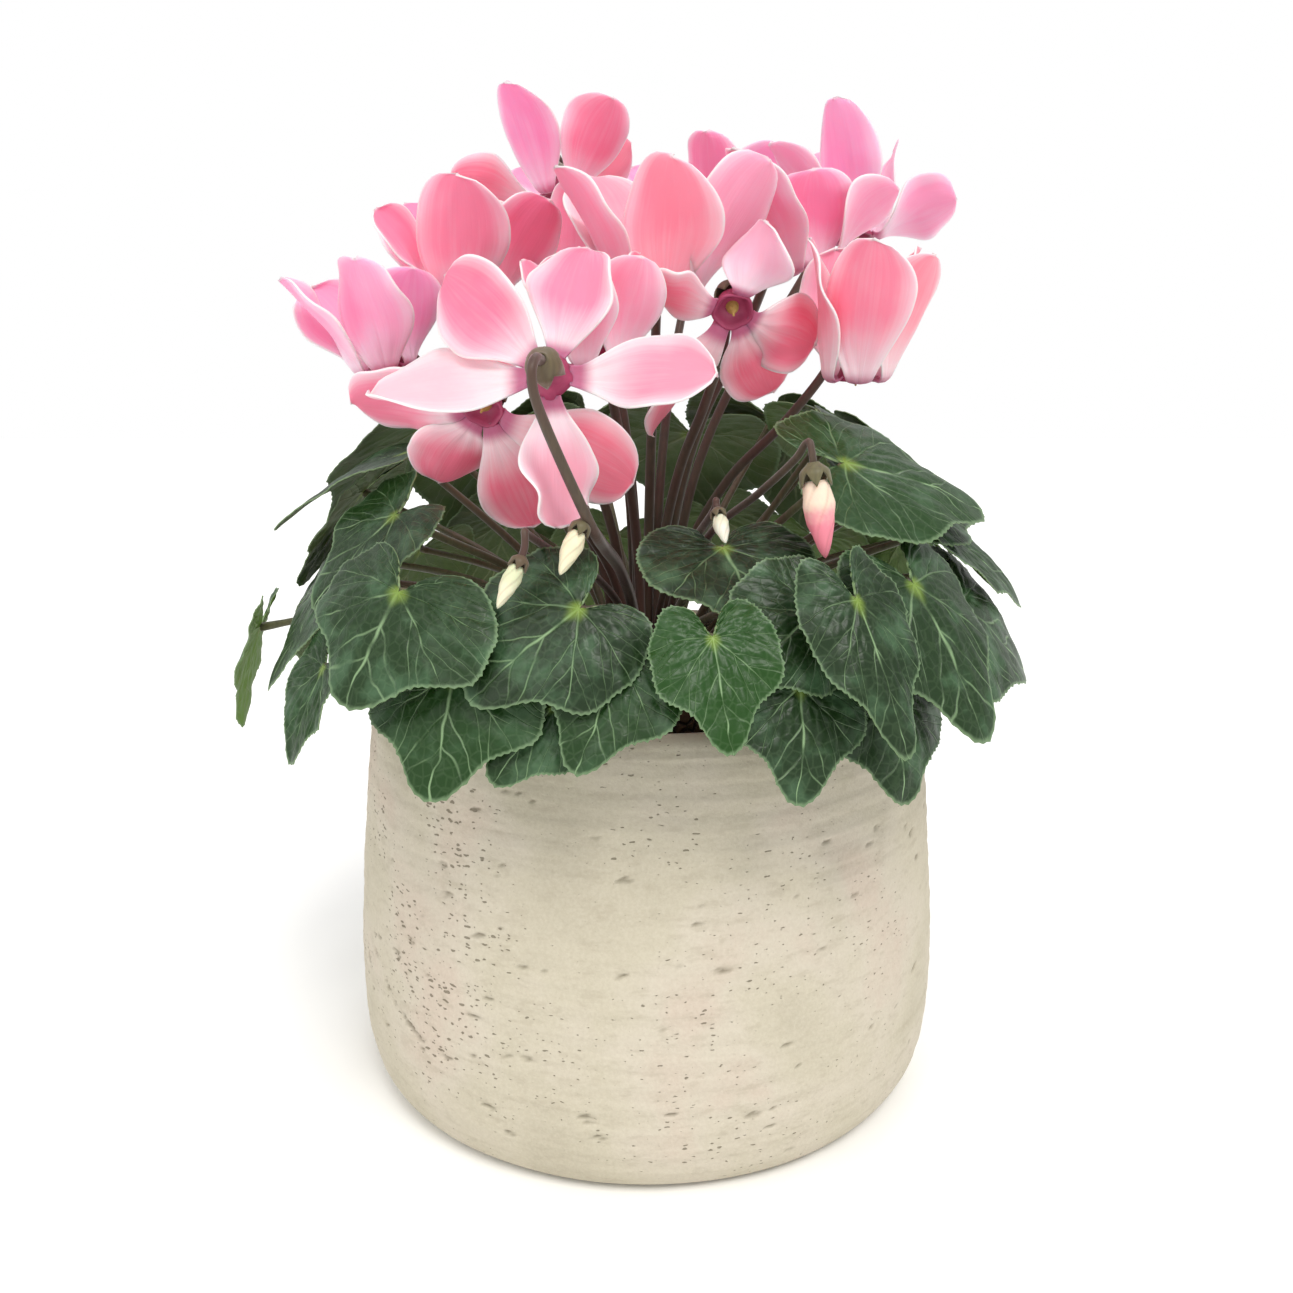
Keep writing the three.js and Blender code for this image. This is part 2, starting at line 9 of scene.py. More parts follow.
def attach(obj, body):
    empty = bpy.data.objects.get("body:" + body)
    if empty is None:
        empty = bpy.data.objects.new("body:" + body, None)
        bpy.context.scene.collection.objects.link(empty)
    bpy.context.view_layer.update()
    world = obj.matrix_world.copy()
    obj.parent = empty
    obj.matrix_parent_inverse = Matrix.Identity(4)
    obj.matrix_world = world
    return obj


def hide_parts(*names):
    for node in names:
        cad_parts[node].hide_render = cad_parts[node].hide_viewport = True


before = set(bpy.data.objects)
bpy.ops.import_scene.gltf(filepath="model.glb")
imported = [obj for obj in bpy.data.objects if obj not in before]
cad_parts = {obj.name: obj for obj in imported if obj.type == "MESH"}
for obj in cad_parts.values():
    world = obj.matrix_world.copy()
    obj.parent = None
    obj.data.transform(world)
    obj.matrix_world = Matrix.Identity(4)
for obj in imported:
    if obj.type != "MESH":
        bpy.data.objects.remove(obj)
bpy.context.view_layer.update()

# A potted cyclamen in flower. Sizes are in millimetres unless a line says otherwise, +Z is up and -Y is the
# front. Azimuths are degrees from the front towards +X, elevations are degrees above level.
MM = 0.001
DEG = math.pi / 180

# ---------------- camera, light and floor
CAMERA_PLACE = (0, -0.400, 0.238)  # metres
CAMERA_DOWN = 13.3                 # degrees below level
CAMERA_LENS = 33.33
FLOOR_SIZE = 7.0                   # metres
# name, where it shines from, how wide it looks (degrees), strength (W/m2), colour
LIGHTS = [
    ("big_softbox_above", (0.30, -0.70, 1.10), 24, 1.60, "fffdf9"),
    ("fill_from_left", (-0.70, -0.60, 0.90), 40, 0.60, "fffdf9"),
    ("small_softbox_behind", (0.25, 0.80, 0.90), 30, 0.50, "f8faff"),
]
WALL_WHITE = "ffffff"      # the walls as the camera sees them
ROOM_LIGHT = 0.68          # and how much of that white they throw on the plant


def linear(colour):
    """An sRGB hex colour as the linear RGBA that Blender works in."""
    parts = [int(colour[i:i + 2], 16) / 255 for i in (0, 2, 4)]
    return [c / 12.92 if c <= 0.04045 else ((c + 0.055) / 1.055) ** 2.4 for c in parts] + [1.0]


def mode(name):
    bpy.ops.object.mode_set(mode=name)


def nothing_selected():
    if bpy.context.object and bpy.context.object.mode != "OBJECT":
        mode("OBJECT")
    bpy.ops.object.select_all(action="DESELECT")


bpy.context.scene.view_settings.view_transform = "Standard"
nothing_selected()
bpy.ops.object.camera_add(location=CAMERA_PLACE, rotation=((90 - CAMERA_DOWN) * DEG, 0, 0))
camera = bpy.context.object
camera.data.lens = CAMERA_LENS
camera.data.sensor_width = 36
camera.data.clip_start = 0.01
bpy.context.scene.camera = camera

for light_name, place, spread, strength, colour in LIGHTS:
    bpy.ops.object.light_add(type="SUN", location=place)
    lamp = bpy.context.object
    lamp.name = light_name
    lamp.rotation_euler = Vector(place).to_track_quat("Z", "Y").to_euler()
    lamp.data.angle = spread * DEG
    lamp.data.energy = strength
    lamp.data.color = linear(colour)[:3]


# ---------------- materials
NOISE = "ShaderNodeTexNoise"
VORONOI = "ShaderNodeTexVoronoi"
MAPPING = "ShaderNodeMapping"
SEPARATE = "ShaderNodeSeparateXYZ"
ATTRIBUTE = "ShaderNodeAttribute"
RAMP = "ShaderNodeValToRGB"
RANGE = "ShaderNodeMapRange"
MATH = "ShaderNodeMath"
MIX = "ShaderNodeMix"
TIMES = {"operation": "MULTIPLY"}
TIMES_PLUS = {"operation": "MULTIPLY_ADD"}
MINUS = {"operation": "SUBTRACT"}
LARGER = {"operation": "MAXIMUM"}
UNSIGNED = {"operation": "ABSOLUTE"}
SOFT_STEP = {"interpolation_type": "SMOOTHSTEP"}
COLOUR_MIX = {"data_type": "RGBA"}
FACTOR, COLOUR_A, COLOUR_B, COLOUR_OUT = 0, 6, 7, 2  # the sockets of a Mix node that mixes colours


def add_node(tree, kind, links=(), settings=None, out=0):
    """Adds a node with its links or values (a list is for its first inputs, in their order) and its settings
    or ramp, and gives back one of its outputs."""
    made = tree.nodes.new(kind)
    for key, value in (settings or {}).items():
        if key == "ramp":
            stops = made.color_ramp.elements
            while len(stops) < len(value):
                stops.new(0.5)
            for stop, (position, colour) in zip(stops, value):
                stop.position = position
                stop.color = linear(colour)
        else:
            setattr(made, key, value)
    for key, value in links.items() if isinstance(links, dict) else enumerate(links):
        if isinstance(value, bpy.types.NodeSocket):
            tree.links.new(value, made.inputs[key])
        else:
            made.inputs[key].default_value = linear(value) if isinstance(value, str) else value
    return made.outputs[out]


def material(name, **shader_values):
    """A new material, what adds a node to it, and its Object coordinates."""
    made = bpy.data.materials.new(name)
    made.use_nodes = True
    shader = made.node_tree.nodes["Principled BSDF"]
    for key, value in shader_values.items():
        shader.inputs[key.replace("_", " ")].default_value = value
    add = partial(add_node, made.node_tree)
    return made, add, add("ShaderNodeTexCoord", out="Object")


def finished(made, colour, layers, height=None, strength=0.3, depth=0.3):
    """Lays colours over the first one, each by its share, and gives the shader the result and its relief."""
    tree = made.node_tree
    shader = tree.nodes["Principled BSDF"]
    for share, over in layers:
        colour = add_node(tree, MIX, {FACTOR: share, COLOUR_A: colour, COLOUR_B: over}, COLOUR_MIX, COLOUR_OUT)
    tree.links.new(colour, shader.inputs["Base Color"])
    if height is not None:
        bump = add_node(tree, "ShaderNodeBump", {"Height": height, "Strength": strength, "Distance": depth * MM})
        tree.links.new(bump, shader.inputs["Normal"])
    return made


def washed_cement():
    """Cast cement, washed over with a thin pale slip: dull, warm and blotchy, with the fine sand of the mix,
    faint level tool lines and small air holes stretched along them, darkened with painted shade."""
    made, add, place = material("washed_cement", Roughness=0.88, Specular_IOR_Level=0.25)
    levels = add(MAPPING, {"Vector": place, "Scale": (1, 1, 2.4)})
    # blotches 30 to 60 mm across where the wash lies thick or thin
    blotch = add(NOISE, {"Vector": place, "Scale": 24.0, "Detail": 3.0, "Roughness": 0.5})
    colour = add(RAMP, [blotch], {"ramp": [(0.34, "beb6a2"), (0.46, "c4bca8"), (0.58, "cac1b0"),
                                           (0.68, "c9bbab")]})
    # level tool marks 2 to 8 mm apart
    marks = add(MAPPING, {"Vector": place, "Scale": (0.10, 0.10, 1.6)})
    mark = add(NOISE, {"Vector": marks, "Scale": 110.0, "Detail": 3.0, "Roughness": 0.6})
    streak = add(RANGE, [mark, 0.56, 0.76, 0.0, 0.32], SOFT_STEP)
    # sand grains under 1 mm
    sand = add(NOISE, {"Vector": place, "Scale": 900.0, "Detail": 2.0, "Roughness": 0.7})
    grain = add(RANGE, [sand, 0.35, 0.7, 0.0, 0.18])
    # thin places of the wash, 3 to 8 mm across, that let the darker cement through
    thin = add(NOISE, {"Vector": levels, "Scale": 130.0, "Detail": 5.0, "Roughness": 0.65})
    thin = add(RANGE, [thin, 0.50, 0.68, 0.0, 0.30], SOFT_STEP)
    # air holes up to 2 mm long in the skin, in drifts, and most of them on the side that lay lowest in the mould
    crowd = add(NOISE, {"Vector": place, "Scale": 26.0, "Detail": 1.0})
    crowd = add(RANGE, [crowd, 0.40, 0.64, 0.10, 0.46])
    side = add(SEPARATE, [place])
    side = add(RANGE, [side, -0.08, 0.06, 1.15, 0.55], SOFT_STEP)
    crowd = add(MATH, [crowd, side], TIMES)
    wobble = add(NOISE, {"Vector": place, "Scale": 500.0, "Detail": 1.0}, out="Color")
    bent = add(MIX, {0: 0.0024, 4: levels, 5: wobble}, {"data_type": "VECTOR"}, out=1)
    cell = add(VORONOI, {"Vector": bent, "Scale": 400.0}).node.outputs
    lot = add("ShaderNodeSeparateColor", [cell["Color"]])
    room = add(MATH, [lot, crowd], TIMES)
    room = add(MATH, [room, lot], TIMES)
    depth = add(MATH, [room, cell["Distance"]], MINUS)
    hole = add(RANGE, [depth, -0.03, 0.05, 0.0, 1.0], SOFT_STEP)
    big = add(ATTRIBUTE, [], {"attribute_name": "hole"}, "Fac")
    hole = add(MATH, [hole, big], LARGER)
    # painted shade: the air holes, from this noise and from the pot's hole attribute, are darkened as if shadowed
    # inside
    shade = add(MATH, [hole, 0.72], TIMES)
    low = add(MATH, [hole, -1.0], TIMES)
    low = add(MATH, [streak, -0.25, low], TIMES_PLUS)
    low = add(MATH, [sand, 0.35, low], TIMES_PLUS)
    layers = [(streak, "a89f89"), (grain, "e9e3d3"), (thin, "aba18d"), (shade, "665e4b")]
    return finished(made, colour, layers, low, 0.7, 0.5)


def pot_plastic():
    """Injection-moulded black polypropylene: a half-dull skin with a faint cloudiness and dust."""
    made, add, place = material("black_polypropylene", Roughness=0.5)
    cloud = add(NOISE, {"Vector": place, "Scale": 90.0, "Detail": 4.0})
    colour = add(RAMP, [cloud], {"ramp": [(0.3, "141514"), (0.7, "282826")]})
    fine = add(NOISE, {"Vector": place, "Scale": 1500.0})
    return finished(made, colour, [], fine, 0.2, 0.2)


def potting_soil():
    """Moist peat and composted bark: nearly black, crumbly, with brown fibres."""
    made, add, place = material("peat_soil", Roughness=0.95)
    crumb = add(NOISE, {"Vector": place, "Scale": 420.0, "Detail": 5.0, "Roughness": 0.7})
    colour = add(RAMP, [crumb], {"ramp": [(0.3, "120d09"), (0.55, "2b2018"), (0.75, "4a382a")]})
    return finished(made, colour, [], crumb, 0.9, 1.2)


def corm_skin():
    """The tuber's corky skin: dull brown with darker cracks."""
    made, add, place = material("corky_skin", Roughness=0.9)
    crack = add(VORONOI, {"Vector": place, "Scale": 220.0}, {"feature": "DISTANCE_TO_EDGE"})
    split = add(RANGE, [crack, 0.02, 0.16, 0.0, 1.0])
    return finished(made, "2a1d15", [(split, "5e4533")], split, 0.8, 0.8)


def fleshy_skin(name, dark, light, red, red_share):
    """A juicy stalk's skin: half glossy, streaked along with a darker and a lighter colour, flushed with red
    in patches, and dusted with very fine hairs that give its edges a soft sheen."""
    made, add, place = material(name, Roughness=0.5, Sheen_Weight=0.25)
    tall = add(MAPPING, {"Vector": place, "Scale": (1, 1, 0.12)})
    streak = add(NOISE, {"Vector": tall, "Scale": 900.0, "Detail": 3.0})
    patch = add(NOISE, {"Vector": place, "Scale": 35.0, "Detail": 2.0})
    flush = add(RANGE, [patch, 0.4, 0.62, 0.0, red_share], SOFT_STEP)
    return finished(made, dark, [(streak, light), (flush, red)], streak, 0.35)


# The veins of a blade, shared by its shape and its colour: the main ones fan out from the notch every
# VEIN_SPREAD degrees and lean towards the tip, and each sends off pairs of side veins.
VEIN_SPREAD = 50.0
VEIN_LEAN = 0.13
SIDE_VEINS = [(0.30, 0.52), (0.58, 0.66)]  # where they leave, as a share of reach; slope
NOTCH_ANGLE = 152.0


def leaf_face(name, deep, fresh, silver_sheen_colour, vein, vein_strength, roughness, relief):
    """One face of a leaf, waxy and half glossy, with pale veins that fan from the notch and fork, a fine net
    between them and cloudy silver-green marks, partly the leaf's own marbling and partly painted sheen. The
    attribute tone turns it from blue-green to fresh green."""
    made, add, place = material(name, Roughness=roughness, Specular_IOR_Level=0.38)
    plan = add("ShaderNodeUVMap", [], {"uv_map": "UVMap"})
    turn, reach = add(SEPARATE, [plan]).node.outputs[:2]
    wander = add(NOISE, {"Vector": place, "Scale": 70.0, "Detail": 2.0})
    sectors = 2 * NOTCH_ANGLE / VEIN_SPREAD
    turn = add(MATH, [turn, sectors, -sectors / 2], TIMES_PLUS)
    lean = add(MATH, [reach, VEIN_LEAN, 1.0], TIMES_PLUS)
    turn = add(MATH, [turn, lean], TIMES)
    turn = add(MATH, [wander, 0.30, turn], TIMES_PLUS)
    turn = add(MATH, [turn, 0.15], MINUS)
    gap = add(MATH, [turn, 0.5], {"operation": "PINGPONG"})
    gap = add(MATH, [gap, VEIN_SPREAD * DEG], TIMES)
    gap = add(MATH, [gap, reach], TIMES)
    width = add(RANGE, [reach, 0.0, 1.0, 0.026, 0.009])
    veins = add(RANGE, [gap, 0.003, width, 1.0, 0.0], SOFT_STEP)
    for start, slope in SIDE_VEINS:
        course = add(MATH, [reach, start], MINUS)
        course = add(MATH, [course, slope], TIMES)
        off = add(MATH, [gap, course], MINUS)
        off = add(MATH, [off], UNSIGNED)
        side = add(RANGE, [off, 0.001, 0.012, 0.6, 0.0], SOFT_STEP)
        veins = add(MATH, [veins, side], LARGER)
    # the veins fade from the midrib to the outer ones, and break up here and there
    aside = add(MATH, [turn], UNSIGNED)
    rank = add(RANGE, [aside, 0.4, 1.3, 1.0, 0.55])
    broken = add(NOISE, {"Vector": place, "Scale": 130.0, "Detail": 1.0})
    broken = add(RANGE, [broken, 0.36, 0.62, 0.15, vein_strength], SOFT_STEP)
    strong = add(MATH, [veins, broken], TIMES)
    strong = add(MATH, [strong, rank], TIMES)
    # the finest net, cells about 3 mm across
    net = add(VORONOI, {"Vector": place, "Scale": 330.0}, {"feature": "DISTANCE_TO_EDGE"})
    net = add(RANGE, [net, 0.0, 0.13, 1.0, 0.0], SOFT_STEP)
    faint = add(MATH, [net, 0.05], TIMES)
    # silver clouds about 10 mm across, fewer on the freshest leaves: partly the leaf's own silver marbling and
    # partly painted sheen
    tone = add(ATTRIBUTE, [], {"attribute_name": "tone"}, "Fac")
    cloud = add(NOISE, {"Vector": place, "Scale": 85.0, "Detail": 4.0, "Roughness": 0.55})
    silver_and_sheen = add(RANGE, [cloud, 0.46, 0.72, 0.0, 0.7], SOFT_STEP)
    dull = add(RANGE, [tone, 0.3, 0.9, 1.0, 0.20])
    silver_and_sheen = add(MATH, [silver_and_sheen, dull], TIMES)
    # yellow-green where the stalk joins, pale along the very edge
    heart = add(RANGE, [reach, 0.02, 0.17, 0.8, 0.0], SOFT_STEP)
    edge = add(RANGE, [reach, 0.965, 0.995, 0.0, 0.55], SOFT_STEP)
    height = add(MATH, [veins, relief], TIMES)
    height = add(MATH, [net, 0.15 * relief, height], TIMES_PLUS)
    pores = add(NOISE, {"Vector": place, "Scale": 1300.0, "Detail": 2.0})
    height = add(MATH, [pores, 0.15, height], TIMES_PLUS)
    layers = [(tone, fresh), (silver_and_sheen, silver_sheen_colour), (faint, vein), (strong, vein),
              (heart, "7f9a3c"), (edge, "84a077")]
    return finished(made, deep, layers, height, 0.6, 0.4)


def petal_face(name, warm, cool, pale, pale_cool, deepest):
    """One face of a petal, a thin satin skin that light passes through: colour strongest down the middle and
    towards the tip, washed out to nearly white at the edges and the claw, and purple in the throat. At the claw
    the paleness is partly the petal's own and partly painted light against the shade there. The attribute tone
    turns it from coral to lilac pink, and wash makes it paler all over."""
    made, add, place = material(name, Roughness=0.55, Subsurface_Weight=0.45, Subsurface_Radius=(1.0, 0.40, 0.5),
                                Subsurface_Scale=0.003, Sheen_Weight=0.10, Specular_IOR_Level=0.30)
    plan = add("ShaderNodeUVMap", [], {"uv_map": "UVMap"})
    across, along = add(SEPARATE, [plan]).node.outputs[:2]
    tone = add(ATTRIBUTE, [], {"attribute_name": "tone"}, "Fac")
    strong = add(MIX, {FACTOR: tone, COLOUR_A: warm, COLOUR_B: cool}, COLOUR_MIX, COLOUR_OUT)
    weak = add(MIX, {FACTOR: tone, COLOUR_A: pale, COLOUR_B: pale_cool}, COLOUR_MIX, COLOUR_OUT)
    off = add(MATH, [across, 0.5], MINUS)
    off = add(MATH, [off], UNSIGNED)
    # fine streaks along the petal, about 1 mm apart
    rib = add("ShaderNodeCombineXYZ", [across, along, tone])
    ribs = add(MAPPING, {"Vector": rib, "Scale": (26.0, 1.3, 40.0)})
    streak = add(NOISE, {"Vector": ribs, "Scale": 1.0, "Detail": 3.0, "Roughness": 0.6})
    middle = add(RANGE, [off, 0.26, 0.53, 1.0, 0.25], SOFT_STEP)
    # paler towards the claw: partly the petal's own pale base, partly painted light against the shade that falls
    # there
    rise = add(RANGE, [along, 0.10, 0.60, deepest, 1.0], SOFT_STEP)
    share = add(MATH, [middle, rise], TIMES)
    share = add(MATH, [streak, 0.46, share], TIMES_PLUS)
    share = add(MATH, [share, 0.25], MINUS)
    cloud = add(NOISE, {"Vector": place, "Scale": 60.0, "Detail": 2.0})
    share = add(MATH, [cloud, 0.6, share], TIMES_PLUS)
    share = add(MATH, [share, 0.3], {"operation": "SUBTRACT", "use_clamp": True})
    wash = add(ATTRIBUTE, [], {"attribute_name": "wash"}, "Fac")
    wash = add(MATH, [1.0, wash], MINUS)
    share = add(MATH, [share, wash], TIMES)
    # the hem: a thin line that is almost white
    hem = add(RANGE, [off, 0.47, 0.498, 0.0, 0.75], SOFT_STEP)
    end = add(RANGE, [along, 0.98, 0.997, 0.0, 0.6], SOFT_STEP)
    hem = add(MATH, [hem, end], LARGER)
    throat = add(RANGE, [along, 0.07, 0.20, 0.85, 0.0], SOFT_STEP)
    return finished(made, weak, [(share, strong), (hem, "fff3f4"), (throat, "a63d72")], streak, 0.25, 0.5)


def bud_skin(name, top, tip):
    """A furled bud: waxy petals wound round each other, one colour under the calyx and another at the tip,
    with painted shade in the creases where one petal laps over the next.
    """
    made, add, place = material(name, Roughness=0.5, Subsurface_Weight=0.25, Subsurface_Radius=(1.0, 0.6, 0.5),
                                Subsurface_Scale=0.002)
    along = add(ATTRIBUTE, [], {"attribute_name": "along"}, "Fac")
    patch = add(NOISE, {"Vector": place, "Scale": 400.0, "Detail": 2.0})
    share = add(MATH, [patch, 0.3, along], TIMES_PLUS)
    share = add(RANGE, [share, 0.35, 0.75, 0.0, 1.0], SOFT_STEP)
    fold = add(ATTRIBUTE, [], {"attribute_name": "fold"}, "Fac")
    # painted shade in the creases along the lapped edges
    shade = add(MATH, [fold, 0.22], TIMES)
    return finished(made, top, [(share, tip), (shade, "9c6a5c")])


def mottled(name, roughness, scale, dark, light, strength=0.0):
    """A surface of two near colours in soft patches, with a low relief where a strength is given."""
    made, add, place = material(name, Roughness=roughness)
    patch = add(NOISE, {"Vector": place, "Scale": scale, "Detail": 2.0})
    return finished(made, dark, [(patch, light)], patch if strength else None, strength)


CEMENT = washed_cement()
PLASTIC = pot_plastic()
SOIL = potting_soil()
CORM = corm_skin()
FLOWER_STALK = fleshy_skin("flower_stalk_skin", "33281e", "5b4935", "4c2621", 0.65)
LEAF_STALK = fleshy_skin("leaf_stalk_skin", "393822", "65653e", "56342a", 0.5)
CALYX_SKIN = fleshy_skin("calyx_skin", "45402a", "77704a", "5a3a30", 0.5)
# the fourth colour of each face is its silver marbling, made brighter as painted sheen
LEAF_TOP = leaf_face("waxy_leaf_top", "13270e", "184304", "4c6d4d", "8dac7e", 0.85, 0.40, -1.0)
LEAF_UNDER = leaf_face("leaf_underside", "44542f", "6b9440", "66704a", "8c966a", 0.6, 0.60, 1.0)
# the cut rim of a leaf: thin, pale and a little rough
LEAF_RIM = mottled("leaf_rim", 0.55, 300.0, "55753f", "92a97e")
PETAL_FRONT = petal_face("petal_front", "ff7890", "ff96c7", "ffdde2", "ffdbee", 0.20)
PETAL_BACK = petal_face("petal_back", "ff7d94", "ff99cc", "ffe0e4", "ffdeef", 0.10)
# the flower's tube and its ring: deep magenta and satin, in patches about 4 mm across
THROAT = mottled("throat_skin", 0.5, 260.0, "8a2a50", "bb4a70", 0.3)
# the style and the stamens' cone: a dull waxy yellow with grainy pollen
POLLEN = mottled("pollen", 0.7, 1400.0, "94702e", "cfae66")
# matt white paper: even, with the faintest mottle
PAPER = mottled("white_paper", 0.9, 5.0, "fbfbfa", "fefefd")
BUD_SKINS = [
    bud_skin("pink_bud_skin", "f4dcc6", "f08a9c"),
    bud_skin("cream_bud_skin", "efe6c4", "f6eccb"),
    bud_skin("pale_green_bud_skin", "d9ddb8", "efeacb"),
    bud_skin("white_bud_skin", "dfe0c6", "f5f2e2"),
]


world = bpy.data.worlds.new("white_room")
world.use_nodes = True
wall = world.node_tree.nodes["Background"]
wall.inputs["Color"].default_value = linear(WALL_WHITE)
seen = add_node(world.node_tree, "ShaderNodeLightPath", out="Is Camera Ray")
glow = add_node(world.node_tree, RANGE, [seen, 0.0, 1.0, ROOM_LIGHT, 1.0])
world.node_tree.links.new(glow, wall.inputs["Strength"])
bpy.context.scene.world = world


# ---------------- making and handing over pieces
STALK_SIDES = 12


def named(name, *materials):
    """Names the object just made and gives it its materials."""
    made = bpy.context.object
    made.name = made.data.name = name
    made.data.materials.clear()
    for each in materials:
        made.data.materials.append(each)
    return made


def points_of(obj):
    flat = np.empty(3 * len(obj.data.vertices))
    obj.data.vertices.foreach_get("co", flat)
    return flat.reshape(-1, 3) / MM


def move_points(obj, points):
    obj.data.vertices.foreach_set("co", (points * MM).ravel())
    obj.data.update()


def store(obj, name, values):
    """Keeps one number for each point of a mesh, for its material to read."""
    kept = obj.data.attributes.new(name, "FLOAT", "POINT")
    kept.data.foreach_set("value", np.broadcast_to(values, len(obj.data.vertices)).astype(np.float32))


def only(obj, *others):
    """Selects a piece and any others, with the first one active."""
    nothing_selected()
    for each in (obj, *others):
        each.select_set(True)
    bpy.context.view_layer.objects.active = obj


def closed(obj, turned_out=False, filled=False):
    """Merges the points that lie on each other, and fills holes and turns the faces outwards where asked."""
    only(obj)
    mode("EDIT")
    bpy.ops.mesh.select_all(action="SELECT")
    bpy.ops.mesh.remove_doubles(threshold=1e-6)
    if filled:
        bpy.ops.mesh.fill_holes(sides=0)
    if turned_out:
        bpy.ops.mesh.normals_make_consistent(inside=False)
    mode("OBJECT")


def smooth_faces(obj, angle=None):
    only(obj)
    if angle is None:
        bpy.ops.object.shade_smooth()
    else:
        bpy.ops.object.shade_smooth_by_angle(angle=angle * DEG)


def joined(first, *others):
    only(first, *others)
    bpy.ops.object.join()
    return first


def sheet(name, columns, rows, place, *materials):
    """A grid whose points are laid by place(x, y), with x and y from -1 to 1. Its UV map keeps the grid."""
    nothing_selected()
    bpy.ops.mesh.primitive_grid_add(x_subdivisions=columns, y_subdivisions=rows, size=2)
    made = named(name, *materials)
    flat = points_of(made) * MM
    move_points(made, place(flat[:, 0], flat[:, 1]))
    return made


def thickened(obj, thickness, weights=None, thin=1.0):
    """Gives a sheet its thickness, equal to both sides, thinner where the weights fall to nothing."""
    only(obj)
    wall = obj.modifiers.new("thickness", "SOLIDIFY")
    wall.thickness = thickness * MM
    wall.offset = 0
    wall.material_offset = 1
    wall.material_offset_rim = 2
    if weights is not None:
        group = obj.vertex_groups.new(name="thickness")
        for level in np.unique(np.round(weights, 1)):
            picked = np.flatnonzero(np.round(weights, 1) == level)
            group.add(picked.tolist(), float(level), "REPLACE")
        wall.vertex_group = group.name
        wall.thickness_vertex_group = thin
    bpy.ops.object.modifier_apply(modifier=wall.name)
    obj.vertex_groups.clear()


def spun(name, profile, sides, *materials):
    """A turned piece: a circle's points are laid along the profile, opened on the axis and spun about Z."""
    nothing_selected()
    bpy.ops.mesh.primitive_circle_add(vertices=len(profile), radius=0.05)
    made = named(name, *materials)
    move_points(made, np.array([[r, 0, z] for r, z in profile]))
    mode("EDIT")
    bpy.ops.mesh.select_all(action="DESELECT")
    mode("OBJECT")
    for edge in made.data.edges:
        edge.select = set(edge.vertices) == {0, len(profile) - 1}
    mode("EDIT")
    bpy.ops.mesh.select_mode(type="EDGE")
    bpy.ops.mesh.delete(type="EDGE")
    bpy.ops.mesh.select_all(action="SELECT")
    bpy.ops.mesh.spin(steps=sides, angle=2 * math.pi, center=(0, 0, 0), axis=(0, 0, 1))
    mode("OBJECT")
    closed(made, turned_out=True)
    return made


def stalk(name, course, skin, radius_at):
    """A round stalk along a smooth line of points, with radius_at giving its radius from 0 to 1 along it."""
    line = bpy.data.curves.new(name, "CURVE")
    line.dimensions = "3D"
    line.bevel_depth = MM
    line.bevel_resolution = STALK_SIDES // 4 - 1
    line.use_fill_caps = True
    spline = line.splines.new("POLY")
    spline.points.add(len(course) - 1)
    for point, place, t in zip(spline.points, course, np.linspace(0, 1, len(course))):
        point.co = (*(place * MM), 1)
        point.radius = radius_at(t)
    made = bpy.data.objects.new(name, line)
    bpy.context.collection.objects.link(made)
    only(made)
    bpy.ops.object.convert(target="MESH")
    made = named(name, skin)
    closed(made, turned_out=True)
    smooth_faces(made)
    return made


def hand_over(obj, slot, *nodes):
    """Sets a finished piece on the part's body, in place of its CAD nodes."""
    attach(obj, "root")
    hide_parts(*nodes)


# ---------------- draws and curves
def draw(i, n):
    """A repeatable draw from 0 to 1 for the n-th draw of the i-th thing."""
    s = math.sin(i * 127.1 + n * 311.7) * 43758.5453
    return s - math.floor(s)


def vary(i, n, span):
    return (2 * draw(i, n) - 1) * span


def smooth(t):
    c = np.clip(t, 0, 1)
    return c * c * (3 - 2 * c)


def unit(v):
    v = np.asarray(v, float)
    return v / np.linalg.norm(v)


def bezier(p0, p1, p2, p3, steps):
    t = np.linspace(0, 1, steps + 1)[:, None]
    return (1 - t) ** 3 * p0 + 3 * t * (1 - t) ** 2 * p1 + 3 * t * t * (1 - t) * p2 + t ** 3 * p3


def line_through(points, steps):
    """A smooth line through the points, with that many steps between each two."""
    p = np.array(points, float)
    p = np.vstack([2 * p[0] - p[1], p, 2 * p[-1] - p[-2]])
    line = [p[1]]
    for a, b, c, d in zip(p, p[1:], p[2:], p[3:]):
        before, here, after = (math.sqrt(np.linalg.norm(v)) for v in (b - a, c - b, d - c))
        leave = ((b - a) / before - (c - a) / (before + here) + (c - b) / here) * here
        arrive = ((c - b) / here - (d - b) / (here + after) + (d - c) / after) * here
        for t in (np.arange(steps) + 1) / steps:
            line.append((2 * t ** 3 - 3 * t ** 2 + 1) * b + (t ** 3 - 2 * t ** 2 + t) * leave
                        + (3 * t ** 2 - 2 * t ** 3) * c + (t ** 3 - t ** 2) * arrive)
    return np.array(line)


def turned_about_z(points, degrees):
    c, s = math.cos(degrees * DEG), math.sin(degrees * DEG)
    return points @ np.array([[c, s, 0], [-s, c, 0], [0, 0, 1]])


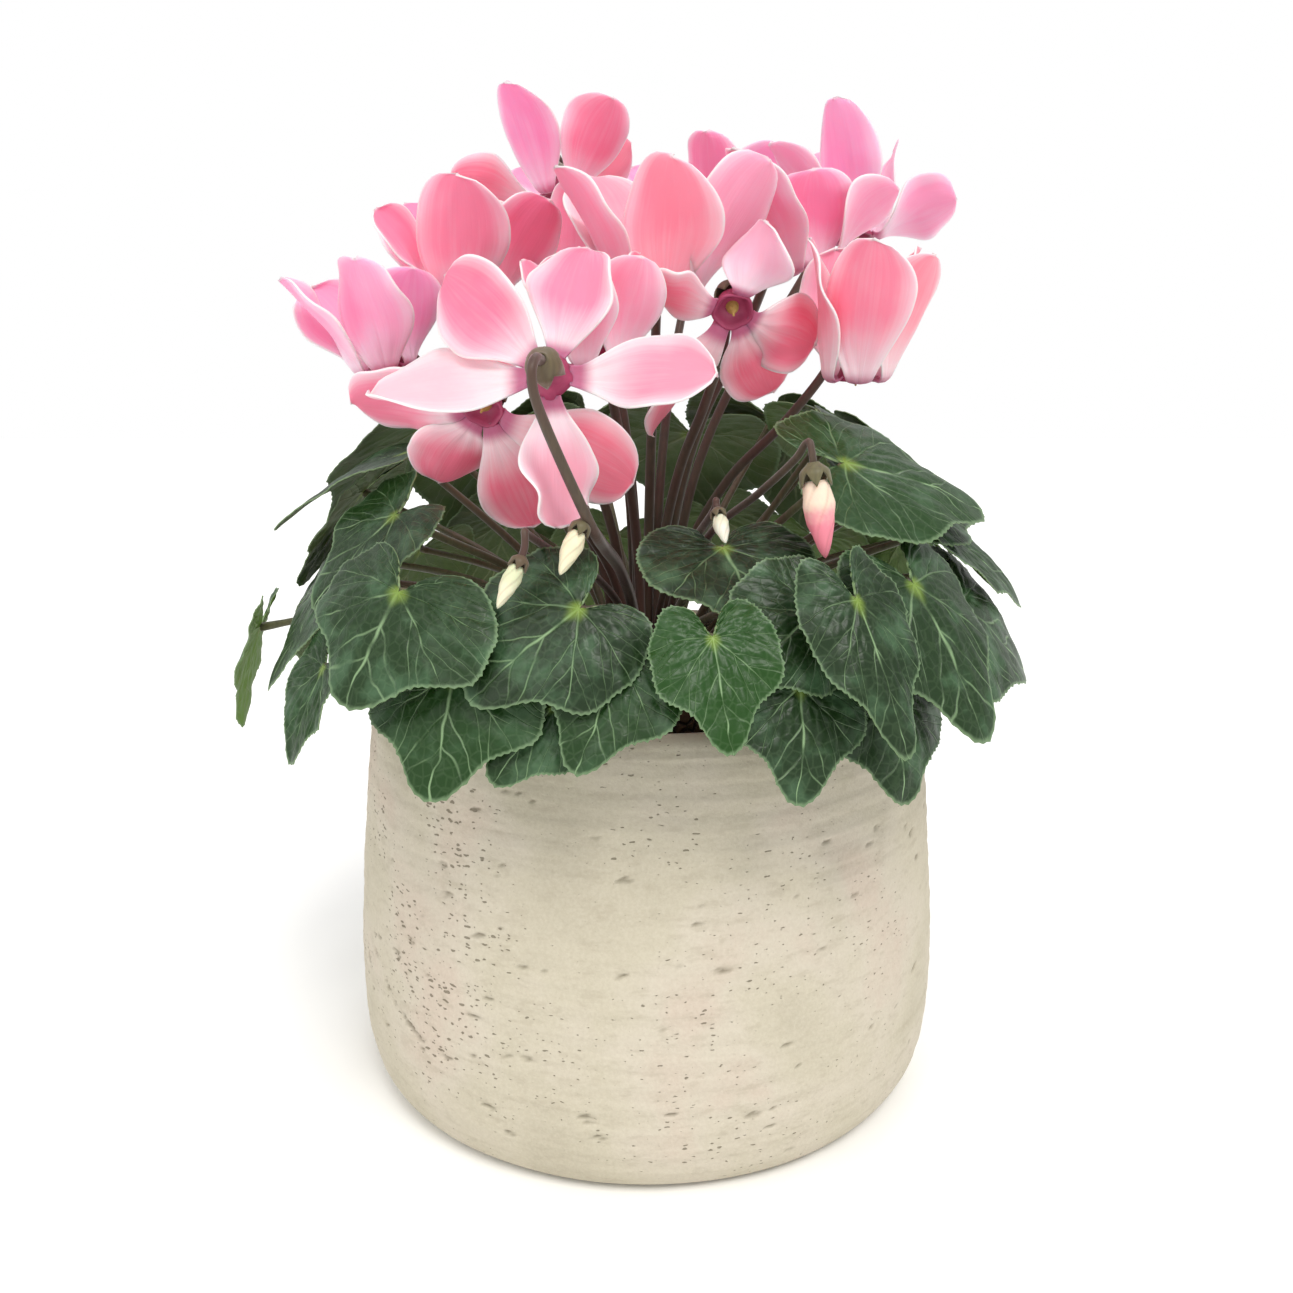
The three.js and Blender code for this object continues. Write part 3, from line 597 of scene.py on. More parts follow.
# ---------------- cover pot
POT_HEIGHT = 139.0
POT_RIM = 91.0
POT_BELLY = 100.0
POT_BELLY_HEIGHT = 38.0
POT_FOOT = 84.0
POT_WALL = 9.5
POT_FLOOR = 10.0
POT_SIDES = 400
POT_ROW = 0.85       # between two rows of points on the outside
RIDGE = 7.5          # spacing of the tool ridges
RIDGE_HEIGHT = 0.13
FINE_RIDGE = 2.9
FINE_RIDGE_HEIGHT = 0.06
LUMP = (26, 26, 18)  # the size of its lumps, and below of its grit
LUMP_HEIGHT = 0.35
GRIT = (2.6, 2.6, 1.9)
GRIT_HEIGHT = 0.10
# The largest air holes and chips of the skin: azimuth, height, length, width, depth, slope in degrees.
BIG_HOLES = [
    (-47.0, 40.0, 15.0, 2.4, 1.1, -22), (-44.0, 37.5, 6.0, 1.8, 0.9, -22), (-61.0, 54.0, 5.0, 2.0, 1.2, -40),
    (-66.0, 48.0, 9.0, 2.0, 1.0, -45), (-55.0, 47.0, 6.0, 1.8, 1.0, -35), (-52.0, 43.0, 4.0, 1.5, 0.9, -30),
    (60.0, 121.0, 6.0, 3.2, 1.2, 35), (58.0, 118.0, 3.5, 2.0, 1.0, 10), (-20.0, 44.0, 6.0, 1.6, 0.8, -8),
    (-8.0, 22.0, 6.0, 1.6, 0.9, -5), (18.0, 27.0, 7.0, 1.8, 0.8, 6), (4.0, 30.0, 6.0, 1.7, 0.9, 0),
    (-28.0, 25.0, 8.0, 2.0, 0.9, -14), (-24.0, 18.0, 6.0, 1.8, 0.8, -10), (24.0, 47.0, 6.0, 1.8, 0.7, 10),
    (33.0, 105.0, 5.0, 1.8, 0.8, 0), (46.0, 104.0, 4.0, 1.6, 0.8, 10), (-38.0, 96.0, 5.0, 1.6, 0.8, -22),
]
MORE_HOLES = 150     # seeded ones all round, each 2.5 to 7 mm long


def cover_radius(z):
    """The radius of the pot's outside: a rounded foot up to the belly, then a gentle taper to the rim."""
    z = np.asarray(z, float)
    above = np.clip((z - POT_BELLY_HEIGHT) / (POT_HEIGHT - POT_BELLY_HEIGHT), 0, 1)
    below = np.clip((POT_BELLY_HEIGHT - z) / POT_BELLY_HEIGHT, 0, 1)
    upper = POT_BELLY - (POT_BELLY - POT_RIM) * above ** 1.5
    lower = POT_FOOT + (POT_BELLY - POT_FOOT) * (1 - below ** 3) ** (1 / 3)
    return np.where(z >= POT_BELLY_HEIGHT, upper, lower)


def cover_pot():
    lip = POT_WALL / 2
    outside = [(float(cover_radius(z)), z) for z in np.arange(0.4, POT_HEIGHT - lip, POT_ROW)]
    middle = POT_RIM - lip
    rim = [(middle + lip * math.cos(a) * 0.98, POT_HEIGHT - lip + lip * math.sin(a))
           for a in np.linspace(0.15, math.pi - 0.15, 15)]
    inside = [(float(cover_radius(z)) - POT_WALL, z) for z in np.linspace(POT_HEIGHT - lip - 1, 18, 26)]
    floor_in = [(POT_FOOT - POT_WALL + 4 - 4 * t, POT_FLOOR + 8 * (1 - t) ** 2) for t in (0.3, 0.6, 1.0)]
    foot = [(0.0, 0.0), (0.5 * POT_FOOT, 0.0), (POT_FOOT - 2.5, 0.0), (POT_FOOT - 0.9, 0.1)]
    profile = foot + outside + rim + inside + floor_in + [(40.0, POT_FLOOR), (0.0, POT_FLOOR)]
    pot = spun("cement_cover_pot", profile, POT_SIDES, CEMENT)
    points = points_of(pot)
    radius = np.hypot(points[:, 0], points[:, 1])
    z = points[:, 2]
    azimuth = np.arctan2(points[:, 0], -points[:, 1])
    skin = smooth((radius - cover_radius(z) + POT_WALL) / POT_WALL * 3 - 1) * smooth(z / 3)
    skin *= 1 - smooth((z - POT_HEIGHT + 4) / 3)
    # tool ridges that run level, fade in and out, and never repeat exactly
    sway = 0.5 * np.sin(azimuth * 2 + 1) + 0.3 * np.sin(azimuth * 5 + 2)
    fade = 0.45 + 0.55 * smooth(np.sin(azimuth + 0.4) * 0.5 + 0.5 + 0.3 * np.sin(azimuth * 3 + z / 23))
    out = RIDGE_HEIGHT * fade * np.sin((z + sway) * 2 * math.pi / RIDGE)
    out += FINE_RIDGE_HEIGHT * fade * np.sin(z * 2 * math.pi / FINE_RIDGE + 3 * np.sin(azimuth * 3))
    lumps, grit = (np.array([noise.noise(Vector(p)) for p in points / size]) for size in (LUMP, GRIT))
    out += LUMP_HEIGHT * lumps + GRIT_HEIGHT * grit
    hole = np.zeros(len(points))
    holes = list(BIG_HOLES)
    for i in range(MORE_HOLES):
        size = 2.5 + 4.5 * draw(i, 23) ** 2
        holes.append((360 * draw(i, 21), 8 + 122 * draw(i, 22), size, 0.9 + 0.14 * size, 0.35 + 0.08 * size,
                      vary(i, 24, 9)))
    for at, height, length, width, depth, slope in holes:
        across = (np.mod(azimuth - at * DEG + math.pi, 2 * math.pi) - math.pi) * radius
        up = z - height
        near = np.flatnonzero((np.abs(across) < length) & (np.abs(up) < length))
        c, s = math.cos(slope * DEG), math.sin(slope * DEG)
        along = across[near] * c + up[near] * s
        over = up[near] * c - across[near] * s + 0.25 * np.sin(along * 1.4 + at)
        far = np.hypot(along / (0.5 * length), over / (0.5 * width))
        cut = 1 - smooth(far / 1.35)
        out[near] -= depth * cut
        hole[near] = np.maximum(hole[near], smooth(cut * 1.5 - 0.35) * min(1, 0.5 + depth * 0.5))
    points[:, :2] += points[:, :2] / np.maximum(radius, 1)[:, None] * (out * skin)[:, None]
    move_points(pot, points)
    # the material darkens the pot where this mask lies: painted shade in the holes
    store(pot, "hole", hole * skin)
    smooth_faces(pot)
    hand_over(pot, "cement", "cover_pot")


# ---------------- soil, in its nursery pot
NURSERY_FOOT = 10.3
SOIL_TOP = 118.0
SOIL_RADIUS = 68.0
SOIL_BOTTOM_RADIUS = 51.8
CRUMBS = 420


def soil():
    base = NURSERY_FOOT + 1.9
    rings = [(r, SOIL_TOP + 2 - 1.9 * smooth((r - 40) / 26)) for r in np.linspace(SOIL_RADIUS, 0, 44)]
    profile = [(0.0, base), (SOIL_BOTTOM_RADIUS, base), (SOIL_RADIUS, SOIL_TOP - 3)] + [
        (float(r), float(z)) for r, z in rings]
    ground = spun("potting_soil", profile, 110, SOIL)
    points = points_of(ground)
    top = points[:, 2] > SOIL_TOP - 1
    lift = np.array([noise.fractal(Vector((x / 6, y / 6, 3)), 1.0, 2.0, 4) for x, y, _ in points])
    edge = 1 - smooth((np.hypot(points[:, 0], points[:, 1]) - 62) / 5)
    points[:, 2] += np.where(top, (1.6 * lift - 0.8) * edge, 0)
    move_points(ground, points)
    nothing_selected()
    bpy.ops.mesh.primitive_ico_sphere_add(subdivisions=1, radius=MM)
    crumb = named("crumb", SOIL)
    shape = points_of(crumb)
    faces = [list(face.vertices) for face in crumb.data.polygons]
    places, corners = [], []
    for i in range(CRUMBS):
        far = 31 + 34 * math.sqrt(draw(i, 31))
        turn = 2 * math.pi * draw(i, 32)
        size = 0.6 + 1.5 * draw(i, 33) ** 2
        stretch = np.array([1 + 0.5 * draw(i, 34), 1 + 0.5 * draw(i, 35), 0.7])
        bumpy = shape * (1 + 0.25 * np.sin(shape[:, [1, 2, 0]] * 3 + i))
        at = np.array([far * math.cos(turn), far * math.sin(turn), SOIL_TOP + 1.0 - 0.02 * far])
        places.append(turned_about_z(bumpy * stretch * size, 360 * draw(i, 36)) + at)
        corners += [[v + i * len(shape) for v in face] for face in faces]
    crumb.data.clear_geometry()
    crumb.data.from_pydata((np.vstack(places) * MM).tolist(), [], corners)
    whole = joined(ground, crumb)
    smooth_faces(whole, 50)
    hand_over(whole, "potting_soil", "soil")


# ---------------- leaves
MOUND_Z = 100.0
MOUND_RADIUS = 128.0
BLADE_THICKNESS = 0.62
PETIOLE_RADIUS = 1.4
TUBER_TOP = 131.0
WAVE = 0.8
BLADE_COLUMNS = 144
BLADE_ROWS = 26
FINE_TOOTH = 0.75
BROAD_TOOTH = 0.8
VEIN_RELIEF = 0.32
MARGIN_WAVE = 0.45
BLISTER = 0.22
ROOT_RINGS = [(25.2, 34), (19.4, 45), (13.8, 91)]  # the crown's rings: radius, for leaves below this elevation

# azimuth and elevation of the notch, turn of the tip from straight down, length, width, lift, tilt, fold;
# then how fresh a green it is, and how far its margin curls up or under
FRONT_LEAVES = [
    (-34, 35, -12, 29, 58, 12, 0, -3, 0.34, 0.8),
    (-51, 46, -20, 34, 46, 5, 1, 2, 0.30, 0.9),
    (-77, 55, -6, 42, 42, 7, 14, 3, 0.15, 0.8),
    (-26, 28, 0, 32, 50, 0, 1, -2, 0.60, -0.8),
    (-9, 36, -48, 34, 42, 5, 0, -2, 0.10, 1.2),
    (-3, 31, -22, 30, 35, 0, 1, 1, 0.45, 0.6),
    (-12, 26, -35, 26, 30, -5, 0, 0, 0.35, 0.5),
    (8, 32, 5, 26, 28, 9, 0, 0, 0.95, 0.6),
    (15, 48, 4, 30, 50, -8, 6, 3, 0.05, -1.0),
    (23, 35, -58, 29, 34, 4, 0, 0, 0.20, 0.7),
    (26, 34, 8, 36, 26, 16, -1, -3, 0.15, 0.8),
    (20, 27, -8, 29, 36, 0, 0, 0, 0.20, 0.5),
    (40, 36, 8, 42, 48, 9, 0, -2, 0.30, 0.9),
    (34, 25, -5, 29, 44, -2, 1, -1, 0.25, 0.7),
    (57, 33, 50, 42, 52, 1, 3, -3, 0.25, 0.8),
    (68, 43, 34, 40, 38, 3, 6, 3, 0.40, 1.0),
    (60, 51, 66, 42, 44, 3, 10, 2, 0.15, 0.8),
    (39, 52, 66, 44, 46, 13, 5, 0, 0.62, 0.7),
    (96, 62, 0, 30, 40, 8, 0, 0, 0.10, 0.7),
    (-86, 22, 3, 31, 33, 12, -1, 2, 0.95, 0.7),
    (-67, 36, -8, 40, 42, 0, 1, 2, 0.35, 0.9),
    (-52, 25, -4, 28, 28, 0, 2, 3, 0.45, 0.6),
    (92, 50, 0, 30, 38, -4, 0, 0, 0.20, 0.7),
    (-98, 44, 0, 38, 46, 9, 0, 0, 0.25, 0.7),
]
# how many leaves; azimuth of the first end and the last end, elevation, length, width, lift, tilt
BACK_ROWS = [
    (8, 84, 268, 33, 40, 52, 0, 2),
    (6, 108, 256, 53, 54, 60, 13, 0),
]
BACK_STEP = 5        # every second leaf of a back row lies this much higher
LEAF_KEYS = ("azimuth", "elevation", "turn", "length", "width", "lift", "tilt", "fold", "tone", "curl")


def leaf_list():
    leaves = [dict(zip(LEAF_KEYS, row)) for row in FRONT_LEAVES]
    for r, (count, start, end, notch, length, width, lift, tilt) in enumerate(BACK_ROWS):
        for i in range(count):
            seed = 40 + 20 * r + i
            values = (start + (end - start) * (i + 0.5) / count + vary(seed, 1, 2), notch + vary(seed, 2, 2),
                      vary(seed, 3, 12), length * (1 + vary(seed, 4, 0.07)), width * (1 + vary(seed, 5, 0.07)),
                      lift + (i % 2) * BACK_STEP, tilt, vary(seed, 6, 3), 0.1 + 0.35 * draw(seed, 9), 0.8)
            leaves.append(dict(zip(LEAF_KEYS, values)))
    for i, leaf in enumerate(leaves):
        leaf["seed"] = i + 1
        leaf["corner"] = 0.02 + 0.06 * draw(i + 1, 7)
    for radius, below in ROOT_RINGS:
        group = [leaf for leaf in leaves if "root" not in leaf and leaf["elevation"] < below]
        group.sort(key=lambda leaf: leaf["azimuth"])
        for leaf in group:
            leaf["root"] = [radius, leaf["azimuth"]]
        room = (2 * PETIOLE_RADIUS + 0.9) / radius / DEG
        for _ in range(60):
            for a, b in zip(group, group[1:]):
                push = max(0, room - (b["root"][1] - a["root"][1])) / 2
                a["root"][1] -= push
                b["root"][1] += push
    return leaves


def outline(angle, corner):
    """The blade's outline as a share of its length, at an angle from the tip, seen from the notch."""
    a = np.abs(angle)
    heart = 0.6 + 0.1 * np.cos(a * DEG) + 0.3 * np.exp(-(a / 18) ** 2) + corner * np.exp(-((a - 58) / 14) ** 2)
    return heart * np.sqrt(1 - (a / 158) ** 10)


def vein_relief(angle, reach):
    """How deep the blade is drawn in along its veins, from 0 to 1."""
    turn = angle / VEIN_SPREAD * (1 + VEIN_LEAN * reach)
    gap = np.abs(turn - np.round(turn)) * VEIN_SPREAD * DEG * reach
    depth = np.exp(-(gap / 0.045) ** 2) * (1 - 0.4 * reach)
    for start, slope in SIDE_VEINS:
        side = np.abs(gap - slope * (reach - start))
        depth = np.maximum(depth, 0.55 * np.exp(-(side / 0.035) ** 2) * smooth((reach - start) * 8 + 1))
    return depth


def blade_points(leaf, x, y):
    angle = -NOTCH_ANGLE * x
    reach = (y + 1) / 2
    seed = leaf["seed"]
    r = reach * outline(angle, leaf["corner"])
    along = r * np.cos(angle * DEG) * leaf["length"]
    across = r * np.sin(angle * DEG) * leaf["width"] / 1.2
    column = np.round((x + 1) / 2 * BLADE_COLUMNS)
    fine = np.where(column % 2 == 1, 1.0, 0.15) * (0.7 + 0.3 * np.sin(column * 1.7 + seed))
    broad = 0.5 - 0.5 * np.cos(14 * math.pi * (angle / NOTCH_ANGLE + 1) / 2)
    shoulder = smooth((NOTCH_ANGLE - np.abs(angle)) / 12)
    tooth = (FINE_TOOTH * fine * shoulder * smooth((reach - 0.955) / 0.045)
             + BROAD_TOOTH * broad * smooth((reach - 0.6) / 0.4))
    heading = np.arctan2(across, along) + leaf["turn"] * DEG
    arc = (np.hypot(along, across) + tooth) / MOUND_RADIUS
    el = leaf["elevation"] * DEG
    out = np.array([math.cos(el), 0, math.sin(el)])
    down = np.array([math.sin(el), 0, -math.cos(el)])
    right = np.array([0, 1, 0])
    tangent = np.cos(heading)[:, None] * down + np.sin(heading)[:, None] * right
    edge = across / (leaf["width"] / 2)
    rise = (leaf["lift"] + leaf["tilt"] * along / leaf["length"] + leaf["fold"] * edge * edge
            + WAVE * reach ** 2 * np.sin(3 * angle * DEG + 6.3 * draw(seed, 8)))
    rim = smooth((reach - 0.5) / 0.5)
    rise += leaf["curl"] * rim ** 2 * np.sin(angle * DEG + 6.3 * draw(seed, 10))
    rise += MARGIN_WAVE * rim * np.sin(8 * angle * DEG + 6.3 * draw(seed, 11))
    rise -= VEIN_RELIEF * vein_relief(angle, reach) * smooth(reach * 6)
    blister = np.sin(17 * angle * DEG * (1 + 0.2 * reach) + seed) * np.sin(reach * 16 + seed)
    rise += BLISTER * blister * smooth(reach * 2)
    points = (np.cos(arc)[:, None] * out + np.sin(arc)[:, None] * tangent) * (MOUND_RADIUS + rise)[:, None]
    return turned_about_z(points, leaf["azimuth"] - 90) + np.array([0, 0, MOUND_Z])


def petiole(leaf):
    el = leaf["elevation"] * DEG
    ring, azimuth = leaf["root"]
    turn = (azimuth - leaf["azimuth"]) * DEG
    start = np.array([ring * math.cos(turn), ring * math.sin(turn), TUBER_TOP + 0.2 - MOUND_Z])
    out = np.array([math.cos(el), 0, math.sin(el)])
    end = out * (MOUND_RADIUS + leaf["lift"] - 0.6)
    arrival = (1.6 * leaf["elevation"] - 45) * DEG
    chord = np.linalg.norm(end - start)
    rise = unit([0.35 * math.cos(turn), 0.35 * math.sin(turn), 1])
    course = bezier(start, start + rise * 0.42 * chord,
                    end - np.array([math.cos(arrival), 0, math.sin(arrival)]) * 0.36 * chord, end, 30)
    course = turned_about_z(course, leaf["azimuth"] - 90) + np.array([0, 0, MOUND_Z])
    return stalk("petiole", course, LEAF_STALK,
                 lambda t: PETIOLE_RADIUS * (1.05 - 0.22 * t + 0.25 * smooth((t - 0.93) / 0.07)))


def leaf_piece(leaf):
    name = "leaf_%02d" % leaf["seed"]
    made = sheet(name + "_blade", BLADE_COLUMNS, BLADE_ROWS, lambda x, y: blade_points(leaf, x, y),
                 LEAF_TOP, LEAF_UNDER, LEAF_RIM)
    closed(made)
    reach = np.zeros(len(made.data.vertices))
    for loop, corner in zip(made.data.loops, made.data.uv_layers.active.data):
        reach[loop.vertex_index] = corner.uv[1]
    thickened(made, BLADE_THICKNESS, 1 - smooth((reach - 0.75) / 0.25), 0.45)
    store(made, "tone", leaf["tone"])
    smooth_faces(made, 65)
    whole = joined(made, petiole(leaf))
    hand_over(whole, "leaf", name)


# ---------------- flowers
PETAL_SPACING = 68.0
PETAL_THICKNESS = 0.55
PETAL_COLUMNS = 18
PETAL_ROWS = 34
PETAL_SWING = 0.05    # how far each margin swings in and out by itself, as a share
PETAL_LEAN = 1.3      # how far a petal's tip leans to one side at the most
PETAL_SWELL = 0.6
PETAL_CREASE = 0.12
PETAL_MIDRIB = 0.28
STALK_RADIUS = 1.5
BUD_STALK_RADIUS = 1.2
STALK_ROOT_SHARE = 0.105  # where a stalk leaves the crown, as a share of its flower's own place
MOUTH_DEPTH = 6.0
MOUTH_RADIUS = 5.0
CALYX_HEIGHT = 5.5
# Each bloom's place, the way that it faces, length, width, curl and tone (0 coral, 1 lilac pink). Its petals all
# open by about the same angle, or singly by opens; reach, turns, twists, tones and washes (how nearly white) also
# set them singly. Spin turns the whole bloom, ruffle is how far its margins wave, and the stalk passes via.
BLOOMS = [
    dict(at=(-25, -98, 237), faces=(0.1, 0.9, -0.35), spin=134, length=42, width=24, curl=4, tone=0.2,
         opens=(101, 84, 84, 84, 90), reach=(0.79, 0.9, 0.72, 0.82, 1.03), turns=(0, 18, 24, 20, -6),
         twists=(60, 30, 20, 30, -45), tones=(0.2, 0.15, 0.3, 0.2, 0.1), washes=(0.35, 0.15, 0.05, 0.0, 0.6),
         ruffle=1.6, via=(-14, -99, 198)),
    dict(at=(-44, -57, 229), faces=(-0.2, -0.85, -0.5), length=40, width=25, curl=8, tone=0.05,
         opens=(78, 76, 60, 88, 92), reach=(0.75, 0.95, 0.6, 1.05, 0.85), turns=(4, -12, 20, 62, 38)),
    dict(at=(-78, -36, 243), faces=(0.2, 0.05, -1), length=38, width=25, curl=12, tone=0.75,
         opens=(16, 20, 22, 20, 12), reach=(0.85, 0.9, 1, 1, 0.8), washes=(0.1, 0.15, 0.12, 0.2, 0.1)),
    dict(at=(-56, -19, 260), faces=(0, -0.05, -1), length=44, width=28, curl=12, tone=0.4,
         opens=(14, 22, 26, 20, 26), reach=(0.8, 1, 0.85, 1, 0.95)),
    dict(at=(-31, 38, 300), faces=(0.1, -0.25, -1), length=40, width=23, curl=14, tone=0.5,
         opens=(35, 66, 32, 40, 38), reach=(0.9, 0.85, 1, 0.9, 0.8), twists=(20, -60, 25, 25, 60),
         tones=(0.5, 0.1, 0.85, 0.3, 0.1)),
    dict(at=(4, -36, 262), faces=(0, -0.05, -1), open=25, length=47, width=29, curl=12, tone=0.3,
         washes=(0.25, 0.2, 0.22, 0.3, 0.2)),
    dict(at=(-23, 9, 265), faces=(0, -0.1, -1), open=22, length=40, width=25, curl=12, tone=0.35),
    dict(at=(24, -46, 256), faces=(0.05, -0.8, -0.6), length=36, width=24, curl=8, tone=0.05,
         opens=(98, 86, 62, 75, 80), reach=(1.1, 0.66, 0.6, 0.7, 0.8), turns=(-22, -16, 10, 40, 14),
         twists=(60, 40, 80, 30, 25), tones=(0, 0.1, 0.5, 0.05, 0), washes=(0, 0, 0.5, 0, 0)),
    dict(at=(48, -6, 273), faces=(0.25, 0, -1), length=45, width=29, curl=12, tone=0.4,
         opens=(22, 12, 50, 25, 25), reach=(1.05, 0.7, 0.75, 0.65, 0.95), turns=(16, 6, 0, -8, -16)),
    dict(at=(71, 28, 286), faces=(0, -0.2, -0.97), length=51, width=26, curl=14, tone=0.75,
         opens=(36, 18, 60, 22, 22), reach=(0.8, 0.9, 0.6, 0.95, 0.9), turns=(-8, -32, 0, 0, 0),
         washes=(0.3, 0.25, 0.2, 0.3, 0.3)),
    dict(at=(61, -43, 240), faces=(0, 0.05, -1), open=11, length=43, width=25, curl=10, tone=0.15,
         washes=(0.15, 0.1, 0.18, 0.1, 0.15)),
    dict(at=(25, 63, 287), faces=(0, -0.2, -1), open=28, length=42, width=27, curl=14, tone=0.7),
    dict(at=(-14, -63, 244), faces=(0, 0.05, -1), open=12, length=34, width=20, curl=8, tone=0.35),
]
BUDS = [
    dict(at=(43, -94, 209), points=(0.15, -0.1, -1), length=20, width=8.5, arch=7),
    dict(at=(-17, -101, 197), points=(-0.4, -0.2, -0.9), length=12, width=5.6, arch=5),
    dict(at=(-32, -105, 189), points=(-0.45, -0.15, -0.9), length=12, width=5, arch=9),
    dict(at=(19, -86, 199), points=(0.2, -0.5, -0.8), length=8, width=4.4, arch=4),
]


def flower_frame(at, faces):
    """A flower's own frame: z back from its mouth, x towards the side where its stalk comes up."""
    back = -unit(faces)
    crown = np.array([0, 0, TUBER_TOP - 60]) - np.array(at, float)
    side = unit(crown - back * crown.dot(back))
    return side, np.cross(back, side), back


def place_piece(obj, at, faces):
    move_points(obj, points_of(obj) @ np.array(flower_frame(at, faces)) + np.array(at, float))
    return obj


def stalk_course(at, faces, size, drop, outward=0.0, via=None):
    """Up from the crown among the leaves, then a hook over into the back of the calyx."""
    side, _, back = flower_frame(at, faces)
    at = np.array(at, float)
    root = np.array([at[0] * STALK_ROOT_SHARE, at[1] * STALK_ROOT_SHARE, TUBER_TOP - 3])
    end = at + back * 0.7 * size
    foot = at + side * 2 * size + back * outward - np.array([0, 0, drop])
    first = foot if via is None else np.array(via, float)
    lean = unit(first - root)
    height = first[2] - root[2]
    stem = bezier(root, root + np.array([0, 0, 0.72 * height]), first - lean * 0.25 * height, first, 4)
    rise = lean if via is None else unit(foot - first)
    hook = bezier(foot, foot + rise * 2.2 * size, end + back * 2.2 * size, end, 4)
    return line_through(np.vstack([stem, hook[1 if via is None else 0:]]), 7)


def calyx(size):
    """Five pointed sepals grown into a cup round the stalk's end, hugging the flower's tube."""
    def lay(x, y):
        turn = math.pi * x
        t = (y + 1) / 2
        lobe = 1 - np.abs(np.mod(turn * 5 / (2 * math.pi) + 0.5, 1) - 0.5) * 2
        down = t * (0.62 + 0.55 * lobe)
        radius = (1.5 + 2.9 * smooth(down / 0.7) + 0.5 * np.clip(down - 0.7, 0, 1)) * size
        radius += 0.25 * size * (lobe - 0.5) * t
        height = (CALYX_HEIGHT - 5.2 * down ** 1.2 - 2.8 * np.clip(down - 0.75, 0, 1)) * size
        return np.stack([radius * np.cos(-turn), radius * np.sin(-turn), height], 1)

    cup = sheet("calyx", 40, 10, lay, CALYX_SKIN, CALYX_SKIN, CALYX_SKIN)
    closed(cup)
    thickened(cup, 0.5)
    smooth_faces(cup)
    return cup


def tuber_and_stalks():
    profile = [(0.0, 108.6), (14.0, 109.6), (21.0, 112.1), (26.5, 115.5), (29.4, 119.0), (30.0, 122.0),
               (29.6, 126.0), (28.6, 129.3), (26.4, 130.8), (20.0, 131.0), (12.0, 131.0), (5.0, 131.0),
               (0.0, 131.0)]
    corm = spun("corm", profile, 64, CORM)
    points = points_of(corm)
    low = 1 - smooth((points[:, 2] - 126) / 4)
    knobs = np.array([noise.fractal(Vector(p / 7), 1.0, 2.0, 3) for p in points])
    points[:, :2] *= (1 - 0.02 * low * np.abs(knobs))[:, None]
    move_points(corm, points)
    smooth_faces(corm)
    parts = []
    for bloom in BLOOMS:
        hooked = "via" in bloom
        course = stalk_course(bloom["at"], bloom["faces"], 5, 5, 7.5 if hooked else 0.0, bloom.get("via"))
        parts.append(stalk("flower_stalk", course, FLOWER_STALK, lambda t: STALK_RADIUS * (
            1.12 - 0.25 * smooth(t / 0.8) + 0.45 * smooth((t - 0.95) / 0.05))))
        parts.append(place_piece(calyx(1.0), bloom["at"], bloom["faces"]))
    for bud in BUDS:
        size = bud["width"] / 10
        course = stalk_course(bud["at"], bud["points"], 4.5 * size, -bud["arch"])
        parts.append(stalk("bud_stalk", course, FLOWER_STALK,
                           lambda t: BUD_STALK_RADIUS * (1.05 - 0.25 * smooth(t / 0.8))))
        parts.append(place_piece(calyx(size), bud["at"], bud["points"]))
    whole = joined(corm, *parts)
    whole.name = whole.data.name = "corm_with_flower_stalks"
    hand_over(whole, "stalk", "tuber_and_flower_stalks")


def petal_half_width(u, width):
    claw = 0.22 + 0.78 * smooth(u / 0.6)
    tip = np.where(u > 0.62, np.sqrt(np.maximum(0, 1 - (np.maximum(u - 0.62, 0) / 0.38) ** 2.4)), 1)
    return width / 2 * claw * tip


def petal_centre(petal, curl):
    """The petal's centre line: out of the mouth, back over its rim, then along; it gives out, up and angle."""
    steps = 160
    back = 180 - petal["open"]
    t = (np.arange(steps) + 0.5) / steps
    angle = 50 + (back - 50) * smooth(t / 0.17) - curl * smooth((t - 0.3) / 0.7)
    out = MOUTH_RADIUS + np.cumsum(np.r_[0, np.sin(angle * DEG)]) * petal["length"] / steps
    up = -MOUTH_DEPTH - np.cumsum(np.r_[0, np.cos(angle * DEG)]) * petal["length"] / steps
    marks = np.linspace(0, 1, steps + 1)
    turns = np.interp(marks, t, angle) * DEG
    return lambda u: (np.interp(u, marks, out), np.interp(u, marks, up), np.interp(u, marks, turns))


